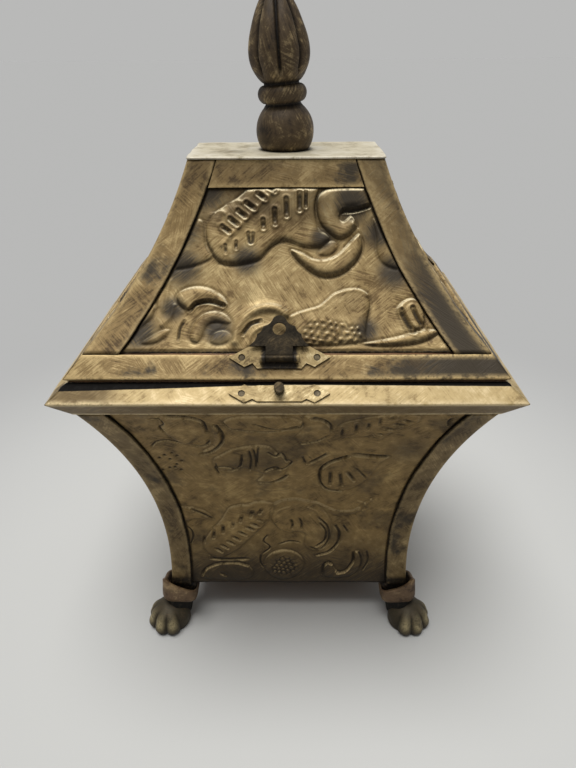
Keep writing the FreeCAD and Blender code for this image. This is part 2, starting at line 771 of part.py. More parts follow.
def hinge_leaf(low, high, slope, out, spans, nail_height):
    """A flat leaf with knuckles on given spans round an axis at a slope and a way out, and two nail holes."""
    leaf = Part.makeBox(hinge_length, high - low, hinge_leaf_thickness, V(-end_half, low, 0))
    web_half = hinge_web_share * hinge_barrel_radius
    for start, end in spans:
        edge = low if slope < low else high
        web = [V(start, edge, 0), V(start, slope, out - web_half), V(start, slope, out + web_half)]
        web.append(V(start, edge, hinge_leaf_thickness))
        crank = Part.Face(Part.makePolygon(web + [web[0]])).extrude(RIGHT * (end - start))
        leaf = leaf.fuse(crank).fuse(rod(hinge_barrel_radius, start, end, slope, out))
    leaf = one(leaf)
    nails = []
    for hand in (1, -1):
        x = hand * hinge_nail_out_share * hinge_length
        leaf = leaf.cut(Part.makeCylinder(nail_hole_radius, hinge_leaf_thickness, V(x, nail_height, 0), UP))
        nails.append(nail(x, nail_height, 0))
    return leaf, nails


middle_span = ((-middle_half, middle_half),)
end_start = middle_half + hinge_knuckle_gap
end_spans = ((end_start, end_half), (-end_half, -end_start))
lid_nail_height = hinge_nail_height_share * hinge_leaf_up
rim_nail_height = catch_middle
lid_low = bottom_strip_lift + hinge_barrel_radius
lid_leaf, lid_leaf_nails = hinge_leaf(
    lid_low, hinge_leaf_up, lid_axis_slope, hinge_axis_out, middle_span, lid_nail_height
)
box_leaf, box_leaf_nails = hinge_leaf(
    bevel_length - hinge_leaf_down, hinge_leaf_down, rim_axis_slope, rim_axis_out, end_spans, rim_nail_height
)
pin = rod(hinge_pin_radius, -end_half, end_half, lid_axis_slope, hinge_axis_out)
bore = rod(hinge_pin_bore, -end_half, end_half, lid_axis_slope, hinge_axis_out)
lid_leaf = lid_leaf.cut(bore)
pins = []
for name, hand in (("right", -1), ("left", 1)):
    shift = hand * (half_width - hinge_from_end)
    placed_pin = turned(laid(pin, strip_face, strip_slope, shift), 180)
    pins.append(placed_pin)
    placed = turned(laid(box_leaf, catch_origin, bevel_slope, shift), 180)
    parts["hinge_box_leaf_%s" % name] = placed.cut(placed_pin)
    parts["hinge_lid_leaf_%s" % name] = turned(laid(lid_leaf, strip_face, strip_slope, shift), 180)
    lid_nails += [turned(laid(n, strip_face, strip_slope, shift), 180) for n in lid_leaf_nails]
    box_nails += [turned(laid(n, catch_origin, bevel_slope, shift), 180) for n in box_leaf_nails]
parts["hinge_pins"] = Part.Compound(pins)
parts["lid_nails"] = Part.Compound(lid_nails)
parts["box_nails"] = Part.Compound(box_nails)

# Nail holes in the wood and strips that the nails go into.
for node in ("lid_front_bottom_strip", "lid_front_wall", "lid_back_bottom_strip", "lid_back_wall"):
    parts[node] = parts[node].cut(parts["lid_nails"])
for node in ("rim_front", "rim_back"):
    parts[node] = parts[node].cut(parts["box_nails"])

os.makedirs("parts", exist_ok=True)
for node, shape in parts.items():
    shape.exportStep("parts/%s.step" % node)
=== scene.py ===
import math

import bpy
import numpy as np
from mathutils import Matrix


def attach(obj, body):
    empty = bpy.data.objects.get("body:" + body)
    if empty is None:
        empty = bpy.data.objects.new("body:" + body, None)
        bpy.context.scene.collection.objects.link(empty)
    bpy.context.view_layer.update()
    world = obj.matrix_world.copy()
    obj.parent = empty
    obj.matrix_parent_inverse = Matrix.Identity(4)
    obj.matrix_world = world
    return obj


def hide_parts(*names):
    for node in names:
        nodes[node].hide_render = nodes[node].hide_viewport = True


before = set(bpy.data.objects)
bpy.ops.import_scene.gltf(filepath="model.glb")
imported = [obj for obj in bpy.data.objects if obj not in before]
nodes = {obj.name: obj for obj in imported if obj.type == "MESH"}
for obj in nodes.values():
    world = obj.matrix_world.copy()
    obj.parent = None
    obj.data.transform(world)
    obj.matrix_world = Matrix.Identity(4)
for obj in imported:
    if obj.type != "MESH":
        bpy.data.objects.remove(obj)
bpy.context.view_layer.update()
MM = 0.001

# Sizes of the box in millimetres. Insets are measured from the rim's tip, depths from a wall's face
# inwards.
HALF_WIDTH = 82.5
HALF_DEPTH = 65.0
STRIP = 1.0
SHEET = 1.05
SHEET_BACK = 1.8
WALL = 1.85
LINING = 6.85
STRIP_WIDTH = 9.4
TOP_STRIP = 8.9
BODY_FOOT = 23.0
BODY_FOOT_INSET = 26.0
BODY_HOLLOW = 7.8
SOFFIT = 133.9
SOFFIT_INSET = 6.8
LID_BREAK = 155.5
LID_BREAK_INSET = 11.75
LID_HOLLOW = 3.92
LID_TOP = 213.1
LID_PEAK = 214.0
LID_PEAK_INSET = 48.3

# The four sides in order round the box: name, turn from the front, tip distance, half length.
SIDES = (
    ("front", 0.0, HALF_DEPTH, HALF_WIDTH),
    ("right", 90.0, HALF_WIDTH, HALF_DEPTH),
    ("back", 180.0, HALF_DEPTH, HALF_WIDTH),
    ("left", 270.0, HALF_WIDTH, HALF_DEPTH),
)
# The four corners: their hands along the width and the depth.
CORNERS = {"front_left": (-1, -1), "front_right": (1, -1), "back_left": (-1, 1), "back_right": (1, 1)}


def hollow(low, high, depth):
    """Arc through two (inset, height) points, hollow outwards: its centre's inset and height, and its
    radius."""
    run, rise = high[0] - low[0], high[1] - low[1]
    chord = math.hypot(run, rise)
    radius = (chord * chord / 4 + depth * depth) / (2 * depth)
    reach = (radius - depth) / chord
    return (low[0] + high[0]) / 2 - rise * reach, (low[1] + high[1]) / 2 + run * reach, radius


LID = hollow((LID_BREAK_INSET, LID_BREAK), (LID_PEAK_INSET, LID_PEAK), LID_HOLLOW)
BODY = hollow((BODY_FOOT_INSET, BODY_FOOT), (SOFFIT_INSET, SOFFIT), BODY_HOLLOW)


def inset(curve, depth, height):
    """Inset of a wall's arc at a depth under its face: the centre's inset plus the circle's half chord
    there."""
    return curve[0] + np.sqrt((curve[2] + depth) ** 2 - (height - curve[1]) ** 2)


def turned(x, y, angle):
    """Points turned round the origin by an angle."""
    return x * math.cos(angle) - y * math.sin(angle), x * math.sin(angle) + y * math.cos(angle)


def stand(points, turn, tip):
    """Points (along, inset, height) of a side, set back from its tip and turned round the box."""
    x, y = turned(points[..., 0], points[..., 1] - tip, math.radians(turn))
    return np.stack([x, y, points[..., 2]], -1)


def ease(t):
    """Smooth step: 3t2 - 2t3 of t held between 0 and 1."""
    t = np.clip(t, 0, 1)
    return t * t * (3 - 2 * t)


def bell(d, power=2):
    """Bell curve: e to the minus d, raised to an even power."""
    return np.exp(-(d**power))


LATTICE = 128
LATTICE_START = 37.0


def uneven(x, y, pitch, seed):
    """Smooth random height in -1..1: seeded values on a square lattice, joined by the smooth step."""
    lattice = np.random.default_rng(seed).uniform(-1, 1, (LATTICE, LATTICE))
    u, v = np.asarray(x) / pitch + LATTICE_START, np.asarray(y) / pitch + LATTICE_START
    i, j = np.floor(u).astype(int), np.floor(v).astype(int)
    a, b = ease(u - i), ease(v - j)

    def at(p, q):
        return lattice[p % LATTICE, q % LATTICE]

    low = at(i, j) * (1 - a) + at(i + 1, j) * a
    high = at(i, j + 1) * (1 - a) + at(i + 1, j + 1) * a
    return low * (1 - b) + high * b


def wavering(x, y, waves, seed):
    """Sum of uneven heights, each with its size, its pitch and the next seed."""
    return sum(size * uneven(x, y, pitch, seed + k) for k, (size, pitch) in enumerate(waves))


def round_trip(count):
    """Angles of a full turn, as one row."""
    return np.linspace(0, 2 * math.pi, count, endpoint=False)[None, :]


def column(values):
    """Values as one column."""
    return np.array(values)[:, None]


def skin(name, body, shells, masks):
    """Joins closed shells into one piece that replaces the node of its name. A shell is a grid of rows of
    points in millimetres: every row is a closed ring, neighbouring rows are joined by quads and the end
    rings are capped."""
    points, faces, start = [], [], 0
    for grid in shells:
        rows, cols = grid.shape[:2]
        index = np.arange(rows * cols).reshape(rows, cols)
        beside = np.roll(index, -1, 1)
        quads = np.stack([index[:-1], beside[:-1], beside[1:], index[1:]], -1).reshape(-1, 4)
        flat = grid.reshape(-1, 3)
        a, b, c, d = (flat[quads[:, k]] - flat.mean(0) for k in range(4))
        volume = np.einsum("ij,ij->", a, np.cross(b, c)) + np.einsum("ij,ij->", a, np.cross(c, d))
        caps = [index[0][::-1].tolist(), index[-1].tolist()]
        if volume < 0:
            quads = quads[:, ::-1]
            caps = [cap[::-1] for cap in caps]
        faces += (quads + start).tolist() + [[k + start for k in cap] for cap in caps]
        points.append(flat)
        start += rows * cols
    mesh = bpy.data.meshes.new(name)
    mesh.from_pydata(np.concatenate(points) * MM, [], faces)
    mesh.polygons.foreach_set("use_smooth", np.ones(len(mesh.polygons), bool))
    for mask, values in masks.items():
        vector = mask == "lay"
        layer = mesh.attributes.new(mask, "FLOAT_VECTOR" if vector else "FLOAT", "POINT")
        values = np.concatenate([np.ravel(v) for v in values])
        layer.data.foreach_set("vector" if vector else "value", values.astype(np.float32))
    mesh.update()
    piece = bpy.data.objects.new(name, mesh)
    bpy.context.scene.collection.objects.link(piece)
    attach(piece, body)
    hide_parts(name)
    return piece


# Pressed ornament of the front, in millimetres along the wall and up its face. Leaves have a name, a
# height and an outline; ridges and grooves are grouped by height or depth and half width; grapes have a
# pitch, a height, a share of dirt and an outline; dots have a depth, a half width and places.
LID_LEAVES = {
    "great shell": (1.5, [
        (-3, 59), (-8, 58.5), (-13.5, 57.5), (-17, 54.5), (-19.5, 52.5), (-23, 50.5), (-26.5, 48),
        (-29, 45), (-30, 41.5), (-29.5, 37), (-27.5, 33), (-24.5, 30.3), (-20, 29.6), (-15.5, 30.2),
        (-11, 31.5), (-8.5, 34), (-6, 36.5), (-2.5, 38), (1, 37.2), (5, 35.8), (9, 35.5), (12.3, 36.3),
        (14.2, 38.6), (13.5, 40.3), (10.5, 42.5), (9.3, 46), (9, 50), (9.8, 54), (11, 57), (12, 59),
    ]),
    "curled leaf": (1.9, [
        (10.2, 54), (12.5, 56), (16, 57.4), (20, 58.3), (24.4, 58.6), (27.2, 56.4), (29.5, 52.4),
        (29.4, 50.9), (26, 49.6), (22.5, 49.3), (19.5, 48.8), (17.8, 47.4), (17.6, 45.8), (18.8, 44.7),
        (20.3, 45.6), (21.6, 46.6), (23, 45.2), (23.8, 43), (22.6, 41.2), (20.6, 39.4), (17.6, 38.5),
        (14.6, 40), (11.6, 43), (10, 46.5), (9.5, 50.5),
    ]),
    "crescent": (1.9, [
        (0.3, 34.9), (3.5, 30.4), (8.9, 26.3), (13.5, 25.2), (18.9, 26.7), (23.5, 30.8), (25.7, 35.4),
        (24.8, 40.4), (22.5, 39), (19.4, 35.8), (16.6, 33.1), (12.5, 31.5), (8, 31.9), (4.4, 34),
    ]),
    "small leaf in the crescent": (0.8, [(10, 33.5), (13, 37.5), (16, 38), (17, 35.5), (14, 33)]),
    "upper right leaf": (1, [
        (29.5, 46), (30.5, 40), (30.8, 34.5), (32.5, 30.6), (36, 28.5), (40, 28), (42, 28), (34, 42),
    ]),
    "left scroll": (1.3, [
        (-40, 18.5), (-38, 20.8), (-34, 22), (-30, 21.8), (-26, 20.2), (-23, 17.8), (-21.8, 15),
        (-23.5, 15.3), (-26.5, 16.6), (-30, 16.8), (-33, 15.6), (-35.5, 13.4), (-37.5, 14), (-39.5, 16),
    ]),
    "arch under the left scroll": (1.0, [
        (-35, 3), (-34, 8), (-31, 11.8), (-26.5, 13.2), (-22.5, 12), (-20.5, 9), (-22.5, 8.2), (-26, 9),
        (-29, 7.5), (-30.5, 4), (-32.5, 1.5),
    ]),
    "bud beside the arch": (0.7, [
        (-28, 2), (-26.5, 5.2), (-23, 6.2), (-20.5, 4.5), (-21.5, 2), (-25, 0.8),
    ]),
    "tall left leaf": (1.1, [
        (-49.5, 20.5), (-47.8, 17.5), (-47.6, 13), (-49.5, 9.5), (-53, 6.5), (-57, 4), (-61.5, 1.5),
        (-60, 4.5), (-56, 8), (-53, 11.5), (-51.5, 15.5),
    ]),
    "low left leaf": (0.8, [(-52, 1.5), (-48, 4.5), (-44, 6.5), (-42, 6), (-44, 3.2), (-48, 1.2)]),
    "bed of the grapes": (1.2, [
        (0.5, 11.3), (5, 13.2), (10, 14.7), (13, 17), (16, 19.5), (20.5, 20.9), (24.5, 20.9), (27.5, 19),
        (28.2, 15), (27.2, 10), (26.5, 5), (25, 1.5), (5, 0.5), (2, 4), (-0.5, 8),
    ]),
    "right bud": (1.1, [
        (37.5, 13), (39.5, 16.2), (43, 17.5), (45.8, 15.6), (47.2, 11), (46.5, 7), (43, 5), (40, 7.5),
    ]),
    "low right leaf": (1.3, [
        (25, 1.2), (30, 2.2), (37, 3.6), (43, 5.2), (49, 6.3), (53, 6), (50, 3.5), (45, 1.3), (38, 0.3),
        (30, 0.2),
    ]),
    "left shoulder leaf": (0.9, [
        (-37, 44), (-34, 46), (-31, 45.5), (-30, 41), (-29.5, 37), (-27.5, 33), (-30, 30.8), (-36, 28.9),
        (-43.5, 28.5), (-42, 33), (-39.5, 38),
    ]),
}
LID_RIDGES = {
    (1.3, 1.7): [
        [(-19, 2), (-18.5, 6), (-16, 10.2), (-12.5, 13), (-8.5, 14.2), (-4.5, 13.8), (-1.5, 12)],
    ],
    (0.7, 0.7): [
        [
            (17.6, 46.9), (18.2, 45.2), (19.4, 44.6), (20.6, 45.8), (21.6, 46.5), (22.7, 45.4),
            (22.4, 43.7),
        ],
    ],
    (0.5, 0.9): [
        [(-2.9, 57.7), (-10, 51), (-18.4, 42.2), (-24, 36.5)],
    ],
    (0.6, 0.8): [
        [
            (0.5, 10.8), (5, 12.7), (10, 14.1), (13, 16.4), (16, 18.8), (20.5, 20.2), (24.5, 20.2),
            (27, 18.4),
        ],
    ],
    (0.5, 0.6): [
        [
            (0.9, 34.6), (4.4, 33.2), (8, 31.1), (12.5, 30.7), (17, 32.4), (20, 35.2), (22.8, 38.2),
            (24.5, 40),
        ],
    ],
    (0.4, 0.6): [
        [(38, 12.2), (39.9, 15.5), (43, 16.7), (45.2, 15), (46.4, 11)],
    ],
    (0.35, 0.8): [
        [(-45.5, 26), (-46, 15)], [(-42.6, 24), (-44.3, 13.5)],
    ],
    (0.6, 0.9): [
        [(-14.5, 1), (-13.5, 4.5), (-10.5, 7), (-7, 7.6)],
    ],
    (0.5, 0.8): [
        [(-45, 8), (-42, 11), (-41, 15)],
    ],
    (0.4, 0.7): [
        [(-28, 47.2), (-25.2, 48.6), (-22.5, 47.5)], [(-22.5, 50.6), (-19.6, 52.2), (-17, 51.4)],
    ],
}
LID_GROOVES = {
    (0.9, 0.75): [
        [(-7.8, 57.3), (-5.2, 55.3)], [(-11.2, 54.6), (-8.6, 52.6)], [(-15.2, 51.2), (-12.4, 49.2)],
        [(-18.2, 48.5), (-15.6, 46.5)], [(-21, 45.7), (-18.4, 43.7)], [(-9.4, 45.2), (-9.2, 42.6)],
    ],
    (0.9, 0.7): [
        [(-23.8, 43), (-21.2, 41)],
    ],
    (0.9, 0.8): [
        [(-5.3, 48.8), (-5.1, 44)], [(-1.2, 52.4), (-1, 46.8)], [(3.5, 54.6), (3.5, 48.8)],
    ],
    (0.8, 0.6): [
        [(5.7, 54.9), (5.6, 49.8)],
    ],
    (0.6, 0.6): [
        [(-14.6, 40.6), (-14.2, 37.6), (-13.2, 37.6), (-12.9, 40.4)],
        [(-16.5, 4.5), (-13.8, 8.1), (-10.2, 9.5)],
    ],
    (0.6, 0.55): [
        [(-18.9, 37.6), (-18.9, 35.2)],
    ],
    (0.5, 0.55): [
        [(-22.7, 36.2), (-22.5, 33.8)],
    ],
    (1, 0.9): [
        [(38.9, 12.7), (40.8, 8.6), (43, 5.4)],
    ],
    (1, 0.8): [
        [(43, 13.6), (44.4, 10.2), (46.2, 7.2)],
    ],
    (0.7, 0.6): [
        [(-35.2, 13.2), (-32.9, 15.6), (-28.4, 16.4), (-23.4, 15)],
    ],
    (0.5, 0.5): [
        [(-39, 2.5), (-38.5, 6.5), (-37, 9.5)],
    ],
    (0.9, 0.6): [
        [(18.9, 48.4), (23, 48.6), (29.4, 50.6)],
    ],
}
LID_GRAPES = [
    (2.6, 0.5, 0.5, [(3.2, 0.6), (25.2, 0.6), (26, 6), (24, 8.5), (19, 9.5), (12, 10.5), (5, 9)]),
]
BODY_LEAVES = {
    "upper left shell": (0.55, [
        (-47, 112), (-38, 112), (-31, 107), (-30.5, 100), (-31, 94), (-35, 91.5), (-40, 93), (-45, 97),
        (-48, 103),
    ]),
    "upper left crescent": (0.6, [
        (-27.8, 106), (-26, 100.9), (-26, 95.5), (-28.3, 90.9), (-31.5, 87.7), (-35.5, 86.2),
        (-33, 89.5), (-30, 93), (-29, 98), (-29.5, 103),
    ]),
    "upper middle fan": (0.7, [
        (-24.6, 108), (-21.5, 103.2), (-14, 101.8), (-7, 101.4), (-0.5, 102.7), (4, 104.1), (5, 107.5),
        (0, 111), (-10, 112), (-20, 111.5),
    ]),
    "upper right curl": (0.6, [
        (5, 112), (11.7, 109.1), (14.9, 105), (15.4, 100.9), (14, 97.7), (10.4, 94.6), (4.9, 92.9),
        (2, 97), (5, 103),
    ]),
    "upper right fan": (0.5, [
        (17, 100), (20, 96.5), (28, 97), (34, 94.5), (37, 98.5), (42, 102.5), (47, 107), (46, 111),
        (35, 112), (27, 110), (19, 106),
    ]),
    "middle left leaf": (0.7, [
        (-31, 82), (-27, 86), (-22, 90), (-14, 92), (-8, 91), (-5, 86), (-1, 82.5), (-0.5, 78), (-2, 73),
        (-5, 68.5), (-10, 66.5), (-13.5, 67.5), (-11, 71.5), (-14, 74), (-20, 76.5), (-25, 74.5),
        (-29.5, 75),
    ]),
    "middle right shell": (0.7, [
        (12.6, 75), (15.8, 79.6), (21.7, 83.2), (31, 84), (39.5, 83), (36, 78), (33.5, 71), (30, 65),
        (24, 61), (17, 61.5), (13.2, 65.5), (12.3, 70),
    ]),
    "left bud": (0.7, [
        (-49, 50), (-44, 50.5), (-40, 49.5), (-36.5, 47), (-34, 42.5), (-37, 42), (-41, 42.5), (-46, 41),
        (-49, 39),
    ]),
    "great left leaf": (0.8, [
        (-40, 24), (-36.5, 33), (-31, 41), (-28.5, 46), (-26.5, 49.6), (-22.4, 51.4), (-17.8, 51.8),
        (-15.1, 53.5), (-11, 53.8), (-7, 51.8), (-8, 46), (-10, 40), (-14, 34), (-19.5, 27.5), (-24, 22),
        (-29, 18.5), (-35, 17),
    ]),
    "great right scroll": (0.9, [
        (-6.9, 51.8), (-3.3, 54.1), (2.2, 55), (7.6, 53.7), (13, 51), (16, 46), (18.5, 40), (19, 33),
        (17.5, 26), (14, 21.5), (10, 21), (7, 25), (7.5, 31), (4, 33), (-1, 33), (-6, 37), (-8.5, 44),
    ]),
    "right tendril": (0.5, [
        (13, 51.4), (18.5, 47.7), (23.1, 46.4), (27.6, 46.8), (30.5, 49), (33, 53), (36, 55), (33, 50),
        (30, 45.5), (24, 43.5), (19, 44.5), (15, 47.5),
    ]),
    "bed of the grapes": (0.8, [
        (-12, 12), (-10.5, 17), (-7, 20.3), (-2.5, 21.5), (2, 20.3), (5.5, 17), (7, 12), (5.5, 7),
        (2, 3.7), (-2.5, 2.5), (-7, 3.7), (-10.5, 7),
    ]),
    "lower right scroll": (0.7, [
        (15.5, 5), (16, 11), (18.5, 13.3), (20.5, 11.5), (23, 7), (27, 8), (30, 13.5), (30, 19),
        (33, 20), (34.5, 14.5), (33.5, 9), (29, 4), (22, 3),
    ]),
    "lower left leaf": (0.7, [
        (-42, 4), (-39.6, 10), (-33.3, 14.1), (-25.1, 14.6), (-19.6, 11.8), (-17, 7), (-20, 3),
        (-30, 2.5),
    ]),
}
BODY_RIDGES = {
    (0.9, 0.7): [
        [
            (-6.9, 51.8), (-3.3, 54.1), (2.2, 55), (7.6, 53.7), (13.1, 51.4), (18.5, 47.7), (23.1, 46.4),
            (27.6, 46.8), (29.9, 48.2),
        ],
    ],
    (0.5, 0.6): [
        [(29.9, 48.2), (32, 46.5), (33.5, 48.5), (32.5, 51.5), (29.5, 53)],
    ],
    (0.5, 0.7): [
        [(0, 33.5), (-5, 37), (-7, 43), (-5, 48), (0, 50.5)], [(8, 50), (12, 47), (13.5, 43)],
    ],
    (0.35, 0.6): [
        [(30.5, 56), (33.5, 55), (37, 52), (39, 48)],
        [(-13.3, 63.6), (-10.5, 61.4), (-5, 61.3), (-0.5, 62.3)],
    ],
    (0.3, 0.6): [
        [(-7.8, 90.9), (-6, 86.4), (-1.5, 82.7), (-1.5, 80.5)],
    ],
}
BODY_GROOVES = {
    (0.6, 0.6): [
        [(-45.1, 112.3), (-39.6, 112), (-34.6, 110.5), (-31.9, 107.3), (-31.2, 101.8)],
        [(7.6, 110.5), (11.7, 109.1), (14.9, 105), (15.4, 100.9)],
        [(-19.2, 86.4), (-19.6, 81), (-20.6, 77.3), (-24.2, 74.6), (-26.9, 75.5)],
        [(12.5, 24.5), (16, 28), (16.5, 34), (13.5, 39.5)],
        [
            (23.5, 84), (21.7, 83.2), (15.8, 79.6), (12.6, 75), (12.4, 69.1), (13.5, 64.6), (15.8, 61.4),
            (21.7, 60.2),
        ],
        [(0.6, 42), (1.4, 39), (1, 36.4)],
        [(9.5, 23.7), (13.5, 21.8), (16.3, 24.1), (18.1, 30), (16.9, 37.3), (12.6, 43.6)],
        [(15.8, 5.5), (16.3, 10.9), (18.5, 13.2), (19.9, 11.8)],
        [(29.9, 19.1), (29.9, 13.7), (26.7, 7.7), (23.1, 6.4)],
    ],
    (0.7, 0.7): [
        [(-27.8, 105.9), (-26, 100.9), (-26, 95.5), (-28.3, 90.9), (-31.5, 87.7), (-35.5, 86.2)],
        [(20.4, 37.3), (22.6, 31.8), (22.2, 25.5), (18.5, 20), (13.1, 17.7)],
    ],
    (0.6, 0.7): [
        [(-31.3, 96), (-31.7, 93.7), (-34.2, 91.8), (-37.4, 92.7)],
        [(14, 97.7), (10.4, 94.6), (4.9, 92.9)], [(24.4, 105.9), (24.8, 100.7)], [(29, 107), (29, 103)],
        [(41.3, 108.6), (44.9, 106.9)], [(38.5, 106), (42.6, 104.7)], [(35.4, 103.2), (39, 101.8)],
        [(-12.4, 66.8), (-7.8, 66.8), (-3.3, 68.7), (-1, 71.4)],
        [(39.5, 83.2), (31.3, 84.1), (24.9, 85)], [(-34.2, 23.4), (-31.4, 21.2)],
    ],
    (0.4, 0.5): [
        [(-51.5, 110.9), (-47.8, 110), (-46.9, 107.3), (-48.7, 104.6), (-47, 101)],
        [(-54.2, 91.8), (-51.5, 95), (-46.9, 95.9), (-41.5, 93.7)], [(-30.1, 80.2), (-29.6, 75)],
        [(-13.6, 107.2), (-5.3, 103.5), (3, 105)], [(36, 20), (37, 14), (35, 8)],
        [(-10, 31), (-12, 27), (-9, 23), (-12.5, 19)], [(-12.4, 91), (-12.9, 86), (-13.2, 80)],
        [(-48.7, 39.1), (-45.1, 35.5), (-44.2, 30.9), (-46, 25.5)],
        [(-13.3, 18.2), (-13.7, 13.7), (-12.4, 10)], [(-5.1, 25), (0.4, 26.8), (4.9, 25.9)],
    ],
    (0.5, 0.5): [
        [
            (-24.6, 107.3), (-21.5, 103.2), (-14.2, 101.8), (-6.9, 101.4), (-0.5, 102.7), (4, 104.1),
            (4.9, 107.3),
        ],
        [(-29.3, 72.5), (-30.5, 77), (-26.5, 78), (-20.8, 75.3)],
        [(-8.9, 88), (-6, 84.8), (-3.2, 86), (-1.5, 82), (0.8, 80), (-1.5, 77), (-6, 76)],
        [(-16, 89), (-15.6, 82), (-16.5, 74.5)], [(-14.4, 90), (-13.6, 84), (-13.8, 77)],
    ],
    (0.6, 1.1): [
        [(0.5, 104), (3.6, 105.2)],
    ],
    (0.5, 0.6): [
        [(19.5, 103.4), (19.5, 97.6)], [(32.8, 110), (32.9, 105.7)], [(36.8, 110.2), (37.6, 110.6)],
        [(33.1, 99.6), (35.4, 98.6)], [(31.3, 96.8), (33.1, 95.9)],
        [(58.6, 109), (57.9, 106.5), (58.2, 104)], [(-10.5, 74.6), (-6.5, 77.5), (-4, 76.6)],
        [(-43, 49), (-38.5, 46.2), (-34.2, 42.3)], [(4.3, 43), (5.4, 39.5), (5.3, 36)],
        [(-41.9, 5.5), (-39.6, 10), (-33.3, 13.4), (-25.1, 14), (-19.6, 11.8)],
    ],
    (0.7, 0.8): [
        [(16.7, 73.6), (16.8, 65.2)], [(20.6, 72.7), (21.7, 64.8)], [(23.5, 73.6), (26.7, 67.9)],
        [(-25.8, 37.4), (-25.2, 40)], [(-30.2, 33.8), (-30, 38)], [(-34.8, 30.4), (-34.3, 34.6)],
    ],
    (0.4, 0.6): [
        [(26.7, 76.4), (31.7, 69.1)], [(4.9, 83.7), (6.3, 79.1)], [(24, 37.3), (26.7, 32.3)],
        [(32.2, 20), (34, 14.6), (33.5, 10)],
    ],
    (0.6, 0.8): [
        [(7.6, 79.1), (11, 81.8), (14.9, 85.5)],
    ],
    (0.8, 0.85): [
        [(-13.3, 46.6), (-12.3, 49)], [(-17.4, 44.2), (-16.4, 47.4)], [(-22, 41.2), (-21.3, 44.2)],
    ],
    (0.5, 0.7): [
        [(-39.4, 27), (-39, 30.4)],
    ],
    (0.7, 0.75): [
        [(-14, 42.2), (-12.4, 41.4)], [(-17, 39.6), (-13.8, 37.6)], [(-19.4, 37.4), (-16.2, 35.4)],
        [(-22.8, 34.2), (-19.8, 32.2)], [(-25.8, 31), (-22.8, 29)], [(-28.4, 28.2), (-25.4, 26.2)],
        [(-31.4, 25.6), (-28.6, 23.6)],
    ],
    (0.5, 0.8): [
        [(-36.9, 16.4), (-30, 15.6), (-24, 15.8), (-19.6, 15.9)],
    ],
    (0.5, 0.9): [
        [(-32.2, 7.4), (-30.6, 6)],
    ],
}
BODY_GRAPES = [
    (2.4, 0.3, 0.95, [(-9.5, 8), (-8, 15.5), (-2.5, 19), (3, 16), (5, 10), (1, 5.5), (-5, 5)]),
]
BODY_DOTS = [
    (0.6, 0.8, [
        (-50.1, 85.5), (-46.9, 86.8), (-45.1, 85), (-52.4, 83.7), (-48.3, 82.7), (-43.7, 81.4),
        (-46, 79.1), (-49.2, 76.8), (-46.9, 77.3), (-44.6, 75.5), (-52.4, 75.5),
    ]),
]


def flowing(points, closed=False, steps=5):
    """Smooth line through points: the four-point cubic blend, worked out for all spans at once."""
    p = np.asarray(points, float)
    if closed:
        a, b, c, d = np.roll(p, 1, 0), p, np.roll(p, -1, 0), np.roll(p, -2, 0)
    else:
        ends = np.concatenate([2 * p[:1] - p[1:2], p, 2 * p[-1:] - p[-2:-1]])
        a, b, c, d = ends[:-3], ends[1:-2], ends[2:-1], ends[3:]
    a, b, c, d = (q[:, None] for q in (a, b, c, d))
    t = np.linspace(0, 1, steps, endpoint=False)[None, :, None]
    straight = b + t * (c - a) / 2
    bend = t**2 * (2 * a - 5 * b + 4 * c - d) / 2
    twist = t**3 * (3 * b - a - 3 * c + d) / 2
    q = (straight + bend + twist).reshape(-1, 2)
    return q if closed else np.concatenate([q, p[-1:]])


FAR = 1e9
TINY = 1e-12


def gap_to(x, s, line, closed=False):
    """Distance of every point to a line: the least of the distances to its straight spans."""
    best = np.full(x.shape, FAR)
    for (ax, ay), (bx, by) in zip(line, np.roll(line, -1, 0) if closed else line[1:]):
        ux, uy = bx - ax, by - ay
        t = np.clip(((x - ax) * ux + (s - ay) * uy) / (ux * ux + uy * uy + TINY), 0, 1)
        best = np.minimum(best, (x - ax - t * ux) ** 2 + (s - ay - t * uy) ** 2)
    return np.sqrt(best)


def within(x, s, ring):
    """Inside a ring where a level line to one side crosses it an odd number of times."""
    odd = np.zeros(x.shape, bool)
    for (ax, ay), (bx, by) in zip(ring, np.roll(ring, -1, 0)):
        odd ^= ((ay > s) != (by > s)) & (x < (bx - ax) * (s - ay) / (by - ay + TINY) + ax)
    return odd


def depth_in(x, s, ring):
    """Distance of every point to a ring, below zero outside it."""
    return gap_to(x, s, ring, True) * np.where(within(x, s, ring), 1, -1)


def close_to(x, s, line, reach):
    """Points in the box round a line, widened by a reach."""
    (x0, s0), (x1, s1) = line.min(0) - reach, line.max(0) + reach
    return (x > x0) & (x < x1) & (s > s0) & (s < s1)


# A leaf's shoulder and how steeply it rounds, and the groove round a leaf: half width, depth as a share
# of the leaf's height, distance from the outline, and darkness with its own distance.
SHOULDER = 2.6
SHOULDER_POWER = 0.75
RING = 0.5
RING_SHARE = 0.22
RING_OUT = 0.25
RING_DIRT = 0.3
RING_DIRT_OUT = 0.3
LEAF_REACH = 2.0


def press_leaves(x, s, height, dark, leaves):
    """A leaf rises from its outline on a rounded shoulder and is ringed by a groove."""
    for lift, points in leaves.values():
        ring = flowing(points, True)
        near = close_to(x, s, ring, LEAF_REACH)
        d = depth_in(x[near], s[near], ring)
        shoulder = 1 - np.clip(d / SHOULDER, 0, 1)
        rise = lift * (1 - shoulder**2) ** SHOULDER_POWER * (d > 0)
        height[near] = np.maximum(height[near], rise)
        height[near] -= RING_SHARE * lift * bell((d + RING_OUT) / RING)
        dark[near] = np.maximum(dark[near], RING_DIRT * bell((d + RING_DIRT_OUT) / RING))


# Ridges and grooves are worked out within three half widths of their line.
LINE_REACH = 3


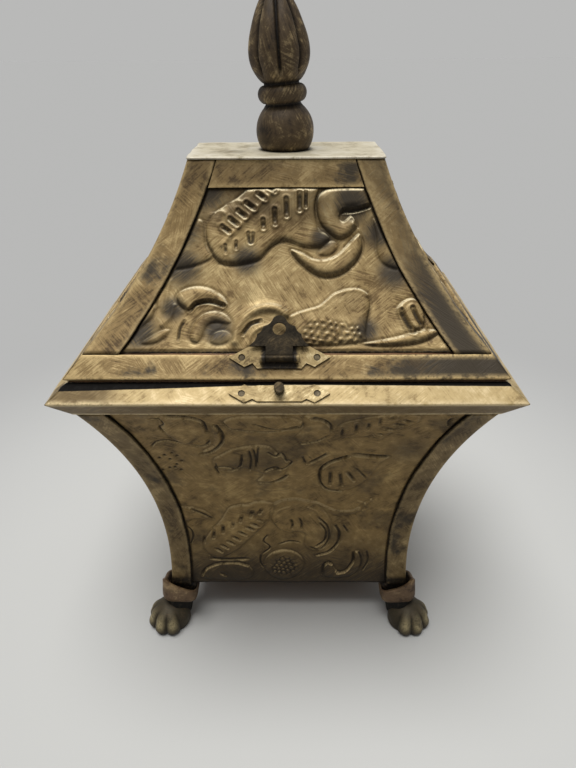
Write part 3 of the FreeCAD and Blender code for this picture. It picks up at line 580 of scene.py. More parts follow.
def press_ridges(x, s, height, ridges):
    """A ridge is a bell curve of the distance to its line."""
    for (lift, width), lines in ridges.items():
        for line in map(flowing, lines):
            near = close_to(x, s, line, LINE_REACH * width)
            height[near] += lift * bell(gap_to(x[near], s[near], line) / width)


# Grapes: the first row's turn, the rows' distance as a share of the pitch, how far and how finely they
# wander, the width over which they fade in, the level taken off and the depth at which the dirt is full.
GRAPE_TURN = 0.3
GRAPE_ROW_SHARE = 0.866
GRAPE_WANDER = 0.8
GRAPE_WANDER_PITCH = 3.5
GRAPE_FADE = 2.0
GRAPE_LEVEL = 0.2
GRAPE_DEEP = 1.2
GRAPE_REACH = 1.0
GRAPE_SEEDS = (17, 18)


def press_grapes(x, s, height, dark, grapes):
    """Grapes are the sum of three waves at 60 degrees inside their outline, on places that wander a
    little."""
    for pitch, lift, dirt, points in grapes:
        ring = flowing(points, True)
        near = close_to(x, s, ring, GRAPE_REACH)
        px, ps = x[near], s[near]
        shown = ease(depth_in(px, ps, ring) / GRAPE_FADE)
        aside, above = (GRAPE_WANDER * uneven(px, ps, GRAPE_WANDER_PITCH, seed) for seed in GRAPE_SEEDS)
        k = 2 * math.pi / (pitch * GRAPE_ROW_SHARE)
        turns = (GRAPE_TURN, GRAPE_TURN + math.pi / 3, GRAPE_TURN - math.pi / 3)
        waves = sum(np.cos(k * ((px + aside) * math.cos(a) + (ps + above) * math.sin(a))) for a in turns)
        height[near] += lift * (waves / 3 - GRAPE_LEVEL) * shown
        dark[near] = np.maximum(dark[near], dirt * ease(-waves / GRAPE_DEEP) * shown)


# Chased grooves: the lip thrown up beside one, as a share of its depth, its distance and its half width;
# the darkness and its half width; and how a groove fades at its ends. All widths are in half widths of
# the groove.
LIP_SHARE = 0.4
LIP_OUT = 1.7
LIP_WIDTH = 0.6
GROOVE_DIRT = 0.92
DIRT_WIDTH = 0.9
TAPER_START = 0.25
TAPER = 2.5


def press_grooves(x, s, height, dark, grooves):
    """A groove is a flat-floored bell curve of the distance to its line with a low lip, and fades at its
    ends."""
    for (depth, width), lines in grooves.items():
        for line in map(flowing, lines):
            near = close_to(x, s, line, LINE_REACH * width)
            px, ps = x[near], s[near]
            d = gap_to(px, ps, line) / width
            to_ends = np.minimum(*(np.hypot(px - end[0], ps - end[1]) for end in (line[0], line[-1])))
            taper = ease(TAPER_START + to_ends / (TAPER * width))
            height[near] -= depth * taper * (bell(d, 4) - LIP_SHARE * bell((d - LIP_OUT) / LIP_WIDTH))
            dark[near] = np.maximum(dark[near], GROOVE_DIRT * taper * bell(d / DIRT_WIDTH, 4))


def press_dots(x, s, height, dark, dots):
    """A punched dot is a bell curve of the distance to its place."""
    for depth, width, points in dots:
        for dot_x, dot_s in points:
            d = np.hypot(x - dot_x, s - dot_s) / width
            height -= depth * bell(d)
            np.maximum(dark, bell(d / DIRT_WIDTH, 4), out=dark)


def pressed(x, s, leaves, ridges, grooves, grapes, dots):
    """Height of the ornament and darkness of its chased lines."""
    height, dark = np.zeros(x.shape), np.zeros(x.shape)
    press_leaves(x, s, height, dark, leaves)
    press_ridges(x, s, height, ridges)
    press_grapes(x, s, height, dark, grapes)
    press_grooves(x, s, height, dark, grooves)
    press_dots(x, s, height, dark, dots)
    return height, dark


def patches(x, s, spots):
    """Broad round spots: the greatest of their bell curves at every point."""
    field = np.zeros(x.shape)
    for spot_x, spot_s, radius in spots:
        field = np.maximum(field, np.exp(-((x - spot_x) ** 2 + (s - spot_s) ** 2) / radius**2))
    return field


# How a sheet meets the strips: play at its ends, covered foot, the fade of the ornament, the dip under an
# edge, the reach of the painted shade there and in the corners at the body's foot, and the least and
# greatest height.
SHEET_PLAY = 0.1
COVERED_FOOT = 0.3
FADE_START, FADE = 0.2, 2.0
DIP, DIP_REACH = 0.5, 1.2
EDGE_SHADE = 0.9
CORNER_SHADE, CORNER_FADE = 4.5, 4.0
CORNER_TOP, CORNER_TOP_FADE = 33.0, 6.0
LOWEST, HIGHEST = -0.72, 3.0
DENTS = ((0.16, 11.0), (0.10, 4.5))


def sheet_panel(name, body, side, curve, low, high, pitch, ornament, covered, seed):
    """A pressed sheet on a hollow wall: over a grid of places along the wall and up its arc, each point
    lies at the arc's radius less the ornament's height. It dips where a strip's edge covers it, and has a
    plain back."""
    _, turn, tip, half = side
    base = curve[2] + SHEET
    foot, head = (math.asin((z - curve[1]) / base) for z in (low, high))
    rows = int(base * (head - foot) / pitch) + 1
    angle = np.linspace(foot, head, rows)[:, None]
    z = curve[1] + base * np.sin(angle)
    reach = half - (curve[0] + base * np.cos(angle)) - SHEET_PLAY
    cols = int(2 * reach.max() / pitch) + 1
    x = reach * np.linspace(-1, 1, cols)[None, :]
    up = base * (angle - foot) + 0 * x
    height, dark, soot = ornament(x, up)
    strip_edge = half - inset(curve, STRIP_WIDTH, z) - np.abs(x)
    open_part = np.minimum(np.minimum(strip_edge, up - COVERED_FOOT), covered(z) + 0 * x)
    dents = wavering(x, up, DENTS, seed)
    dip = DIP * ease(1 - open_part / DIP_REACH)
    height = height * ease((open_part + FADE_START) / FADE) + dents - dip

    def on_arc(along, radius):
        inward, above = curve[0] + radius * np.cos(angle), curve[1] + radius * np.sin(angle)
        return np.stack([along, inward + 0 * along, above + 0 * along], -1)

    def padded(field):
        return np.concatenate([field, np.zeros((rows, 2))], 1)

    front = on_arc(x, base - np.clip(height, LOWEST, HIGHEST))
    back = on_arc(np.concatenate([reach, -reach], 1), curve[2] + SHEET_BACK)
    grid = stand(np.concatenate([front, back], 1), turn, tip)
    slope = -np.gradient(height, axis=0) / (up[1, 0] - up[0, 0])
    # Painted shade: the sheet is darkened along the strips' edges and in the corners at the body's foot.
    corners = ease((CORNER_SHADE - strip_edge) / CORNER_FADE) * ease((CORNER_TOP - z) / CORNER_TOP_FADE)
    gap_shade = np.maximum(ease(1 - open_part / EDGE_SHADE), corners)
    masks = {"dark": dark, "gap_shade": gap_shade, "slope": slope, "soot": soot}
    masks = {mask: [padded(field)] for mask, field in masks.items()}
    masks["lay"] = [np.stack([padded(x), padded(up), np.full((rows, cols + 2), seed * 7.0)], -1)]
    return skin(name, body, [grid], masks)


# Section of a corner strip's leg, from the mitre under it round its cut edge to the fold: share of the
# width, depth under the face; then the rounded fold itself in millimetres along and under.
LEG = (
    (0.5, STRIP), (0.97, STRIP), (1.0, 0.8), (1.0, 0.3), (0.985, 0.07), (0.94, 0), (0.8, 0), (0.65, 0),
    (0.5, 0), (0.35, 0), (0.22, 0),
)
FOLD = ((1.0, 0), (0.556, 0.069), (0.264, 0.264))
FACE = slice(5, 11)
STRIP_PITCH = 1.2
# How a strip's width, its cut edge and its face waver: sizes and pitches.
WIDTH_WAVER = ((0.3, 15.0), (0.12, 4.0))
CURL, CURL_PITCH = 0.3, 19.0
FACE_WAVER, FACE_PITCH = 0.06, 6.0


def corner_strip(name, body, curve, low, high, hands, shaded_foot, seed):
    """A strip folded round a corner: the ring of its L-shaped section, given as offsets along one wall
    and under the other's face, is carried up the corner's arc; its cut edges waver and curl a little."""
    rows = int((high - low) / STRIP_PITCH) + 2
    z = np.linspace(low, high, rows)[:, None]
    width = STRIP_WIDTH + wavering(z, 0 * z, WIDTH_WAVER, seed)
    share, under = np.array(LEG).T
    fold, fold_under = np.array(FOLD).T
    curl = CURL * ease(uneven(z, 0 * z, CURL_PITCH, seed + 2)) * (share**8)[None, :]
    along = np.concatenate([width * share, np.tile(fold, (rows, 1))], 1)
    below = np.concatenate([under[None, :] - curl, np.tile(fold_under, (rows, 1))], 1)
    below[:, FACE] += FACE_WAVER * uneven(z, along[:, FACE], FACE_PITCH, seed + 3)
    mitre = np.full((rows, 1), STRIP)
    first = np.concatenate([mitre, along, below[:, -2::-1]], 1)
    second = np.concatenate([mitre, below, along[:, -2::-1]], 1)
    x = hands[0] * (HALF_WIDTH - inset(curve, first, z))
    y = hands[1] * (HALF_DEPTH - inset(curve, second, z))
    far = np.maximum(first, second)
    edge = np.maximum(bell((width - far) / 0.9), 0.8 * bell(far / 1.3))
    # Painted shade: the strip darkens at the body's foot and along its cut edge, where it meets the sheet.
    gap_shade = ease((low + shaded_foot - z) / 2.5) + 0.8 * bell((width - far) / 0.45)
    lay = np.stack([z + 0 * x, first - second, np.full(x.shape, seed * 5.0)], -1)
    masks = {"edge": [edge], "gap_shade": [np.clip(gap_shade, 0, 1)], "lay": [lay]}
    return skin(name, body, [np.stack([x, y, z + 0 * x], -1)], masks)


ROUND_STEPS = 4
MOST_CUT_SHARE = 0.4
SECTION_PITCH = 0.9
EDGE_WEAR = 0.9
MOULDING_PITCH = 1.0
SWAY_PITCH, RISE_PITCH, FINE_PITCH = 17.0, 21.0, 5.0
FINE_SHARE = 0.4


def rounded(corners, radius):
    """Ring of a section: each corner is cut back by the radius and bridged by a quadratic blend, and the
    straight runs between are divided. Gives the ring and how near each point is to a corner."""
    p = np.asarray(corners, float)
    ring, near = [], []
    t = np.linspace(0, 1, ROUND_STEPS)[:, None]
    for before, here, after in zip(np.roll(p, 1, 0), p, np.roll(p, -1, 0)):
        into, out = here - before, after - here
        length_in, length = np.hypot(*into), np.hypot(*out)
        cut_in, cut = min(radius, MOST_CUT_SHARE * length_in), min(radius, MOST_CUT_SHARE * length)
        a, b = here - into / length_in * cut_in, here + out / length * cut
        ring.append((1 - t) ** 2 * a + 2 * t * (1 - t) * here + t**2 * b)
        near.append(np.ones(ROUND_STEPS))
        run = length - cut
        steps = max(int(run / SECTION_PITCH), 2)
        q = np.linspace(0, 1, steps + 1)[1:-1, None]
        ring.append(b + q * (after - out / length * cut - b))
        near.append(bell(np.minimum(q, 1 - q)[:, 0] * run / EDGE_WEAR))
    return np.concatenate(ring), np.concatenate(near)


def moulding(name, body, side, corners, radius, ends, waver, seed):
    """A section of (inset, height) carried along a side: a point of its ring runs from minus to plus its
    own end, so the ends are mitred; the ring wavers a little on the way."""
    _, turn, tip, half = side
    ring, near = rounded(corners, radius)
    t = np.linspace(-1, 1, int(2 * half / MOULDING_PITCH))[:, None]
    x = t * ends(ring[:, 0], ring[:, 1])[None, :]
    fine_sway = FINE_SHARE * uneven(x, 0 * x + 9.0, FINE_PITCH, seed)
    fine_rise = FINE_SHARE * uneven(x, ring[None, :, 1], FINE_PITCH, seed + 2)
    sway = waver * (uneven(x, 0 * x, SWAY_PITCH, seed) + fine_sway)
    rise = waver * (uneven(x, 0 * x + 3.0, RISE_PITCH, seed + 1) + fine_rise)
    grid = np.stack([x, ring[None, :, 0] + sway, ring[None, :, 1] + rise], -1)
    span = np.concatenate([[0], np.cumsum(np.hypot(*np.diff(ring, axis=0).T))])
    lay = np.stack([x, span[None, :] + 0 * x, np.full(x.shape, seed * 5.0)], -1)
    masks = {"edge": [near[None, :] + 0 * x], "gap_shade": [0 * x], "lay": [lay]}
    return skin(name, body, [stand(grid, turn, tip)], masks)


def arc_through(a, b, c, count):
    """Points of the circle through three points, from the first to the last."""
    a, b, c = (complex(*p) for p in (a, b, c))
    w = (c - a) / (b - a)
    centre = (b - a) * (w - abs(w) ** 2) / (2j * w.imag) + a
    turn = np.angle((c - centre) / (a - centre))
    if turn * np.angle((b - centre) / (a - centre)) < 0:
        turn -= math.copysign(2 * math.pi, turn)
    q = centre + (a - centre) * np.exp(1j * turn * np.linspace(0, 1, count))
    return np.stack([q.real, q.imag], -1)


# The finial's turned outline as arcs through three (radius, height) points, with a number of steps: ball,
# neck, ring, neck, the bud's swell and its taper; then its blunt tip.
FINIAL_ARCS = (
    ((8.2, -0.6), (10.5, 7.0), (7.0, 14.2), 26),
    ((6.6, 14.8), (6.3, 15.2), (7.2, 15.7), 6),
    ((7.5, 15.9), (8.7, 18.4), (7.5, 21.0), 16),
    ((7.0, 21.3), (6.2, 21.8), (6.7, 22.3), 6),
    ((7.0, 22.5), (9.5, 25.8), (10.7, 32.4), 22),
    ((10.7, 32.6), (8.5, 40.8), (1.2, 52.2), 40),
)
FINIAL_TIP = [(0.5, 52.45), (0.1, 52.5)]
FINIAL_NECKS = (15.0, 21.8)
NECK_WIDTH = 0.8
FINIAL_LEAN = math.radians(-4.0)
FINIAL_WRAP = 9.0
BUD_FOOT, BUD_FOOT_FADE = 23.8, 3.0
BUD_TIP, BUD_TIP_FADE = 51.5, 4.0
PETAL = math.pi / 4
PETAL_SWELL = 0.28
CUT_DEPTH = 1.25
CUT_WIDTH, CUT_SPREAD = 0.28, 0.34


def turned_finial(name):
    """The finial: a turned outline of (radius, height) swept round its stick; eight tapered grooves and
    the swell of the petals between them are added to the bud's radius, and the stick leans to the
    left."""
    outline = np.concatenate([arc_through(*arc) for arc in FINIAL_ARCS] + [FINIAL_TIP])
    radius, height = outline[:, :1], outline[:, 1:]
    angle = round_trip(192)
    part = ((angle + math.pi / 2) / PETAL + 0.5) % 1 - 0.5
    bud = ease((height - BUD_FOOT) / BUD_FOOT_FADE) * ease((BUD_TIP - height) / BUD_TIP_FADE)
    cut = bell(np.abs(part) * PETAL * radius / (CUT_WIDTH + CUT_SPREAD * bud), 4) * bud
    r = radius - CUT_DEPTH * cut - PETAL_SWELL * bud * np.cos(part * 2 * math.pi) * ease(radius / 9)
    r = r + 0.1 * uneven(angle * FINIAL_WRAP, height, 5.0, 71) * ease(radius / 3)
    z = height + 0 * angle
    x, above = turned(r * np.cos(angle), z, -FINIAL_LEAN)
    grid = np.stack([x, r * np.sin(angle), above + LID_PEAK], -1)
    necks = sum(bell((height - neck) / NECK_WIDTH) for neck in FINIAL_NECKS) + 0 * angle
    lay = np.stack([z, angle * FINIAL_WRAP + 0 * z, 0 * z], -1)
    return skin(name, "lid", [grid], {"dark": [np.clip(cut + necks, 0, 1)], "lay": [lay]})


def squared(angle, power):
    """A rounded square round the origin: points at unit distance in the measure |x|^power + |y|^power."""
    c, s = np.cos(angle), np.sin(angle)
    grow = (np.abs(c) ** power + np.abs(s) ** power) ** (-1 / power)
    return c * grow, s * grow


def on_diagonal(x, y, z):
    """Points out of the two walls of a corner, turned so that the first axis runs out along its
    diagonal."""
    d = math.sqrt(0.5)
    return np.stack([(x + y) * d, (y - x) * d, z + 0 * x], -1)


# A foot's bracket, ring by ring: how far it stands out of the walls and its share of the height, up
# outside, over the edge and down inside; then its lip, its reach under the body, and the edge's height,
# fall, corner and curl.
BRACKET_RINGS = (
    (1.0, 0.03), (2.3, 0.0), (3.2, 0.02), (4.1, 0.07), (4.6, 0.17), (4.7, 0.3), (4.5, 0.5), (4.2, 0.7),
    (4.0, 0.86), (3.9, 0.95), (3.6, 0.99), (3.0, 1.0), (2.4, 0.98), (1.8, 0.9), (1.4, 0.5),
)
BRACKET_LIP = 14.8
BRACKET_BACK = 11.8
BRACKET_EDGE = 28.7
EDGE_FALL = 0.5
EDGE_CORNER = 4.6
EDGE_CURL, CURL_REACH = 1.8, 5.5
EDGE_WAVER, EDGE_WAVER_PITCH = 0.3, 2.5
BRACKET_INSIDE = 1.9


def bracket():
    """A foot's bracket round the corner: level rings of a rounded square, given by how far they stand out
    of the walls, carried up from the lip over a bulge to an edge that falls away from the corner, and
    down inside."""
    out, part = (column(values) for values in zip(*BRACKET_RINGS))
    square_x, square_y = squared(round_trip(160), 4.5)
    half = (out + BRACKET_BACK) / 2
    x, y = square_x * half + out - half, square_y * half + out - half
    away = EDGE_CORNER - np.minimum(x, y)
    top = BRACKET_EDGE - EDGE_FALL * away + EDGE_CURL * bell(away / CURL_REACH, 4)
    top = top + EDGE_WAVER * uneven(x, y, EDGE_WAVER_PITCH, 5)
    z = BRACKET_LIP + part * (top - BRACKET_LIP)
    # The second value marks the bracket's inside, which is darkened as painted shade.
    return on_diagonal(x, y, z), ease((BRACKET_INSIDE - out) / 0.4) + 0 * x


SEAT_LEVELS = (15.0, 18.0, 21.0, 22.7)
SEAT_HALF = 5.5
SEAT_IN = 6.1


def seat():
    """The block of a foot that carries the body's floor: level rings of a square inside the bracket."""
    z = column(SEAT_LEVELS)
    x, y = (side * SEAT_HALF - SEAT_IN + 0 * z for side in squared(round_trip(64), 12))
    return on_diagonal(x, y, z)


ANKLE_START, ANKLE_RUN = (-4.0, 16.5), (2.5, -11.0)
ANKLE_WIDTH = 12.0
ANKLE_THICK, ANKLE_TAPER = 13.0, 2.0
ANKLE_BOW = 0.6


def ankle():
    """A foot's ankle: rings of a squared circle along a straight path in the foot's middle plane, set
    square to the path, tapered in depth and bowed back at the sides."""
    w = np.linspace(0, 1, 14)[:, None]
    length = math.hypot(*ANKLE_RUN)
    ahead, above = ANKLE_RUN[0] / length, ANKLE_RUN[1] / length
    c, s = np.cos(round_trip(40)), np.sin(round_trip(40))
    y = ANKLE_WIDTH / 2 * np.sign(c) * np.abs(c) ** 0.45
    out = (ANKLE_THICK - ANKLE_TAPER * w) / 2 * np.sign(s) * np.abs(s) ** 0.75
    x = ANKLE_START[0] + ANKLE_RUN[0] * w + above * out - ANKLE_BOW * (2 * y / ANKLE_WIDTH) ** 2
    z = ANKLE_START[1] + ANKLE_RUN[1] * w - ahead * out
    return np.stack([x, y + 0 * x, z], -1)


# A paw: height, radius and centre of its dome, where the dome starts to close and over what height, its
# toes' directions and half span, and each toe's two swells as size, height and half width.
PAW_HEIGHT = 13.0
PAW_RADIUS = 9.2
PAW_CENTRE = 2.4
DOME_FOOT, DOME_RISE = 4.0, 9.05
TOES = np.radians([-60.0, -20.0, 20.0, 60.0])
TOE_SPAN = math.radians(21.0)
TOE_SWELLS = ((2.0, 3.2, 3.6), (1.0, 8.8, 2.2))
SEAM_DEPTH = 0.8
SEAM_TOP, SEAM_FADE = 11.5, 3.0
TOE_WEAR, TOE_WEAR_WIDTH = 7.0, 2.6
LEAST_RADIUS = 0.05


def paw():
    """A foot's paw: the radius of a dome round an upright line, swelled at four toes and drawn in between
    them."""
    z = PAW_HEIGHT * np.linspace(0, 1, 44)[:, None]
    angle = np.linspace(-math.pi, math.pi, 128, endpoint=False)[None, :]
    closing = np.clip((z - DOME_FOOT) / DOME_RISE, 0, 1) ** 2.1
    dome = PAW_RADIUS * np.sqrt(np.clip(1 - closing, 0, 1)) * (0.93 + 0.07 * ease(z / 2.0))
    front = ease((np.cos(angle) + 0.45) / 1.2)
    offs = [np.abs(angle - toe) / TOE_SPAN for toe in TOES]
    toes = np.max([np.sqrt(np.clip(1 - off**2, 0, 1)) for off in offs], 0)
    reach = sum(size * bell((z - level) / width) for size, level, width in TOE_SWELLS)
    seam = front * (1 - toes) * ease((SEAM_TOP - z) / SEAM_FADE)
    radius = np.maximum(dome + reach * toes * front - SEAM_DEPTH * seam, LEAST_RADIUS)
    grid = np.stack([PAW_CENTRE + radius * np.cos(angle), radius * np.sin(angle), z + 0 * angle], -1)
    return grid, np.clip(seam, 0, 1), toes**3 * front * bell((z - TOE_WEAR) / TOE_WEAR_WIDTH)


def paw_foot(name, hands):
    """A cast paw foot, its toes outward along the corner's diagonal: a bracket round the body's corner
    with the body's seat inside it, a short ankle and a paw."""
    brace, inside = bracket()
    toed, seam, brightest = paw()
    turn = math.atan2(hands[1], hands[0])
    corner = [hand * (half - BODY_FOOT_INSET) for hand, half in zip(hands, (HALF_WIDTH, HALF_DEPTH))]
    shells = []
    for part in (brace, seat(), ankle(), toed):
        x, y = turned(part[..., 0], part[..., 1], turn)
        shells.append(np.stack([x + corner[0], y + corner[1], part[..., 2]], -1))
    none = [np.zeros(shell.shape[:2]) for shell in shells]
    full = [np.ones(shell.shape[:2]) for shell in shells]
    # Painted shade: the bracket's inside, the whole seat and the whole ankle are darkened to near black;
    # the seams between the toes are darkened too.
    dark = [inside, full[1], full[2], seam]
    masks = {"dark": dark, "paw": none[:2] + full[2:], "brighten": none[:3] + [brightest]}
    return skin(name, "box", shells, masks)


# The top plate, ring by ring: share of its half width and level over its underside.
PLATE_RINGS = (
    (0.03, 0), (0.5, 0), (0.985, 0), (1.0, 0.2), (1.0, 0.65), (0.993, 0.85), (0.97, 0.9), (0.9, 0.9),
    (0.8, 0.9), (0.65, 0.9), (0.5, 0.9), (0.35, 0.9), (0.2, 0.9), (0.03, 0.9),
)
PLATE_OVERHANG = 0.6
PLATE_FACE = 0.8
PLATE_LAY = 40.0
PLATE_WAVER = ((0.35, 9.0), (0.2, 3.5))
PLATE_DENT, PLATE_DENT_PITCH = 0.1, 7.0


def top_plate(name):
    """The thin plate on the lid: rings of a rectangle from under its middle, round its wavering edge and
    over its dented top to the middle again."""
    edge = inset(LID, 0.0, LID_TOP) - PLATE_OVERHANG
    wide, deep = HALF_WIDTH - edge, HALF_DEPTH - edge
    angle = round_trip(240)
    square = np.maximum(np.abs(np.cos(angle)), np.abs(np.sin(angle)))
    px, py = np.cos(angle) / square * wide, np.sin(angle) / square * deep
    share, level = (column(values) for values in zip(*PLATE_RINGS))
    grow = 1 + wavering(px, py, PLATE_WAVER, 91) / wide * ease((share - 0.8) / 0.2)
    x, y = px * share * grow, py * share * grow
    dents = PLATE_DENT * uneven(x, y, PLATE_DENT_PITCH, 93) - PLATE_DENT
    z = LID_TOP + level + np.where(level > PLATE_FACE, dents, 0.0)
    near = ease((share - 0.9) / 0.1) + 0 * x
    lay = np.stack([x, y, np.full(x.shape, PLATE_LAY)], -1)
    return skin(name, "lid", [np.stack([x, y, z], -1)], {"edge": [near], "lay": [lay]})


def feed(tree, node, inputs):
    """Links each input that is a socket and sets each that is a value."""
    for key, value in inputs.items():
        if isinstance(value, bpy.types.NodeSocket):
            tree.links.new(value, node.inputs[key])
        else:
            node.inputs[key].default_value = value


def put(tree, kind, inputs=None, **settings):
    """Adds a shader node with its settings and inputs."""
    node = tree.nodes.new("ShaderNode" + kind)
    for key, value in settings.items():
        setattr(node, key, value)
    feed(tree, node, inputs or {})
    return node


def work(tree, operation, a, b=0.0):
    return put(tree, "Math", {0: a, 1: b}, operation=operation).outputs[0]


def plus(tree, a, b):
    return work(tree, "ADD", a, b)


def times(tree, a, b):
    return work(tree, "MULTIPLY", a, b)


def most(tree, a, b):
    return work(tree, "MAXIMUM", a, b)


def spread(tree, value, low, high):
    """0 at low and 1 at high, held in between on a smooth step."""
    inputs = {"Value": value, "From Min": low, "From Max": high}
    return put(tree, "MapRange", inputs, interpolation_type="SMOOTHSTEP").outputs["Result"]


def noise(tree, place, scale, detail, rough):
    inputs = {"Vector": place, "Scale": scale, "Detail": detail, "Roughness": rough}
    return put(tree, "TexNoise", inputs).outputs["Fac"]


def stretched(tree, place, scale):
    return put(tree, "VectorMath", {0: place, 1: scale}, operation="MULTIPLY").outputs[0]


def work_mix(tree, amount, a, b):
    return put(tree, "Mix", {0: amount, 2: a, 3: b}, data_type="FLOAT").outputs[0]


def blended(tree, amount, a, b):
    return put(tree, "Mix", {0: amount, 6: a, 7: b}, data_type="RGBA").outputs[2]


def drawn(tree, mask, output="Fac"):
    return put(tree, "Attribute", attribute_name=mask).outputs[output]


def millimetres(tree):
    """Object coordinates in millimetres."""
    return stretched(tree, put(tree, "TexCoord").outputs["Object"], (1 / MM, 1 / MM, 1 / MM))


def axis(tree, name):
    """One of the object's coordinates in millimetres."""
    return put(tree, "SeparateXYZ", {0: millimetres(tree)}).outputs[name]


def between(tree, name, low, high):
    """0 at one place along an axis and 1 at another."""
    return spread(tree, axis(tree, name), low, high)


def effect(name, takes, gives):
    """Starts a node group with named sockets; gives back its tree, its input sockets and its output
    node."""
    tree = bpy.data.node_groups.new(name, "ShaderNodeTree")
    for way, sockets in (("INPUT", takes), ("OUTPUT", gives)):
        for socket, kind in sockets.items():
            tree.interface.new_socket(socket, in_out=way, socket_type="NodeSocket" + kind)
    return tree, tree.nodes.new("NodeGroupInput").outputs, tree.nodes.new("NodeGroupOutput")


# Brush strokes: their directions and their stretch, and the scale at which each takes its turn.
STROKE_TURNS = {0.25: 0.05, 1.0: 0.063, -0.7: 0.076}
STROKE_STRETCH = (0.13, 1.7, 1.0)


def gilt_paint():
    """Old gilt paint, brushed by hand: strokes in three directions that take turns over the surface,
    blotches and grain add up to a tone that goes from the deep colour through the middle one to the pale
    one. Soot lies over it in broad spots and where it is drawn."""
    takes = {"Place": "Vector", "Deep": "Color", "Middle": "Color", "Pale": "Color", "Soot": "Color"}
    takes.update({"Stroke": "Float", "Sooty": "Float", "Spots": "Float"})
    tree, take, give = effect("gilt_paint", takes, {"Color": "Color", "Tone": "Float", "Strokes": "Float"})
    place = take["Place"]
    strokes = None
    for angle, scale in STROKE_TURNS.items():
        swung = {"Vector": place, "Angle": angle}
        aside = put(tree, "VectorRotate", swung, rotation_type="Z_AXIS").outputs[0]
        layer = noise(tree, stretched(tree, aside, STROKE_STRETCH), 1.0, 3.0, 0.65)
        turns = spread(tree, noise(tree, place, scale, 2.0, 0.5), 0.42, 0.58)
        strokes = work_mix(tree, turns, strokes, layer) if strokes else layer
    broad = noise(tree, place, 0.055, 4.0, 0.6)
    middling = noise(tree, place, 0.21, 4.0, 0.65)
    grain = work(tree, "SUBTRACT", noise(tree, place, 2.2, 2.0, 0.6), 0.5)
    swing = work(tree, "SUBTRACT", strokes, 0.5)
    tone = plus(tree, times(tree, broad, 0.5), times(tree, middling, 0.5))
    tone = plus(tree, tone, times(tree, swing, take["Stroke"]))
    tone = plus(tree, tone, times(tree, grain, 0.1))
    color = blended(tree, spread(tree, tone, 0.36, 0.5), take["Deep"], take["Middle"])
    color = blended(tree, spread(tree, tone, 0.5, 0.68), color, take["Pale"])
    spots = times(tree, spread(tree, noise(tree, place, 0.04, 5.0, 0.62), 0.46, 0.64), take["Spots"])
    sooty = most(tree, spots, take["Sooty"])
    broken = times(tree, sooty, times(tree, swing, 1.6))
    sooty = spread(tree, plus(tree, sooty, broken), 0.15, 0.95)
    feed(tree, give, {"Color": blended(tree, sooty, color, take["Soot"]), "Tone": tone, "Strokes": strokes})
    return tree


def wax_and_painted_shade():
    """Dark wax and painted shade in the low places: a drawn mask and the hollows darkened by ambient
    occlusion as painted shade, broken up by noise.
    """
    takes = {"Place": "Vector", "Drawn": "Float", "Reach": "Float"}
    tree, take, give = effect("wax_and_painted_shade", takes, {"Mask": "Float"})
    # Painted shade: ambient occlusion darkens the hollows and the narrow gaps.
    open_part = put(tree, "AmbientOcclusion", {"Distance": take["Reach"]}, samples=6).outputs["AO"]
    low = most(tree, take["Drawn"], spread(tree, open_part, 0.85, 0.25))
    broken = spread(tree, noise(tree, take["Place"], 0.8, 3.0, 0.6), 0.2, 0.6)
    feed(tree, give, {"Mask": times(tree, low, plus(tree, times(tree, broken, 0.4), 0.6))})
    return tree


def brightened_places():
    """Bright wear and painted highlights: a drawn mask of edges, high places and upper flanks, broken up by
    noise at two sizes.
    """
    tree, take, give = effect("brightened_places", {"Place": "Vector", "Drawn": "Float"}, {"Mask": "Float"})
    coarse = spread(tree, noise(tree, take["Place"], 0.22, 3.0, 0.6), 0.28, 0.52)
    fine = spread(tree, noise(tree, take["Place"], 1.3, 3.0, 0.65), 0.22, 0.55)
    feed(tree, give, {"Mask": times(tree, take["Drawn"], times(tree, coarse, fine))})
    return tree


GILT_PAINT = gilt_paint()
WAX_AND_PAINTED_SHADE = wax_and_painted_shade()
BRIGHTENED_PLACES = brightened_places()


def use(tree, group, inputs):
    return put(tree, "Group", inputs, node_tree=group).outputs


def paint(tone):
    """Linear colour of a tone given on the screen's scale of 0 to 255."""
    tone = np.array(tone) / 255
    return (*np.where(tone > 0.04045, ((tone + 0.055) / 1.055) ** 2.4, tone / 12.92).tolist(), 1.0)


# Usual colours of wax and soot, and how far the wax and painted shade reach out of a narrow gap, in metres.
WAX = (30, 24, 17)
SOOT = (66, 58, 46)
NARROW = 0.0015


def finish_of(name, metallic, laid=False):
    """Starts a material: its tree, its Principled shader and the place its patterns read, which is the
    drawn lay of a laid piece and the object's millimetres elsewhere."""
    material = bpy.data.materials.new(name)
    material.use_nodes = True
    tree = material.node_tree
    shader = tree.nodes["Principled BSDF"]
    feed(tree, shader, {"Metallic": metallic, "Specular IOR Level": 0.3})
    return material, tree, shader, drawn(tree, "lay", "Vector") if laid else millimetres(tree)


def cover(tree, shader, color, rough, height, strength, distance):
    """Links a material's colour, its roughness and the fine marks on it to its shader."""
    bump = put(tree, "Bump", {"Height": height, "Strength": strength, "Distance": distance})
    feed(tree, shader, {"Base Color": color, "Roughness": rough, "Normal": bump.outputs["Normal"]})


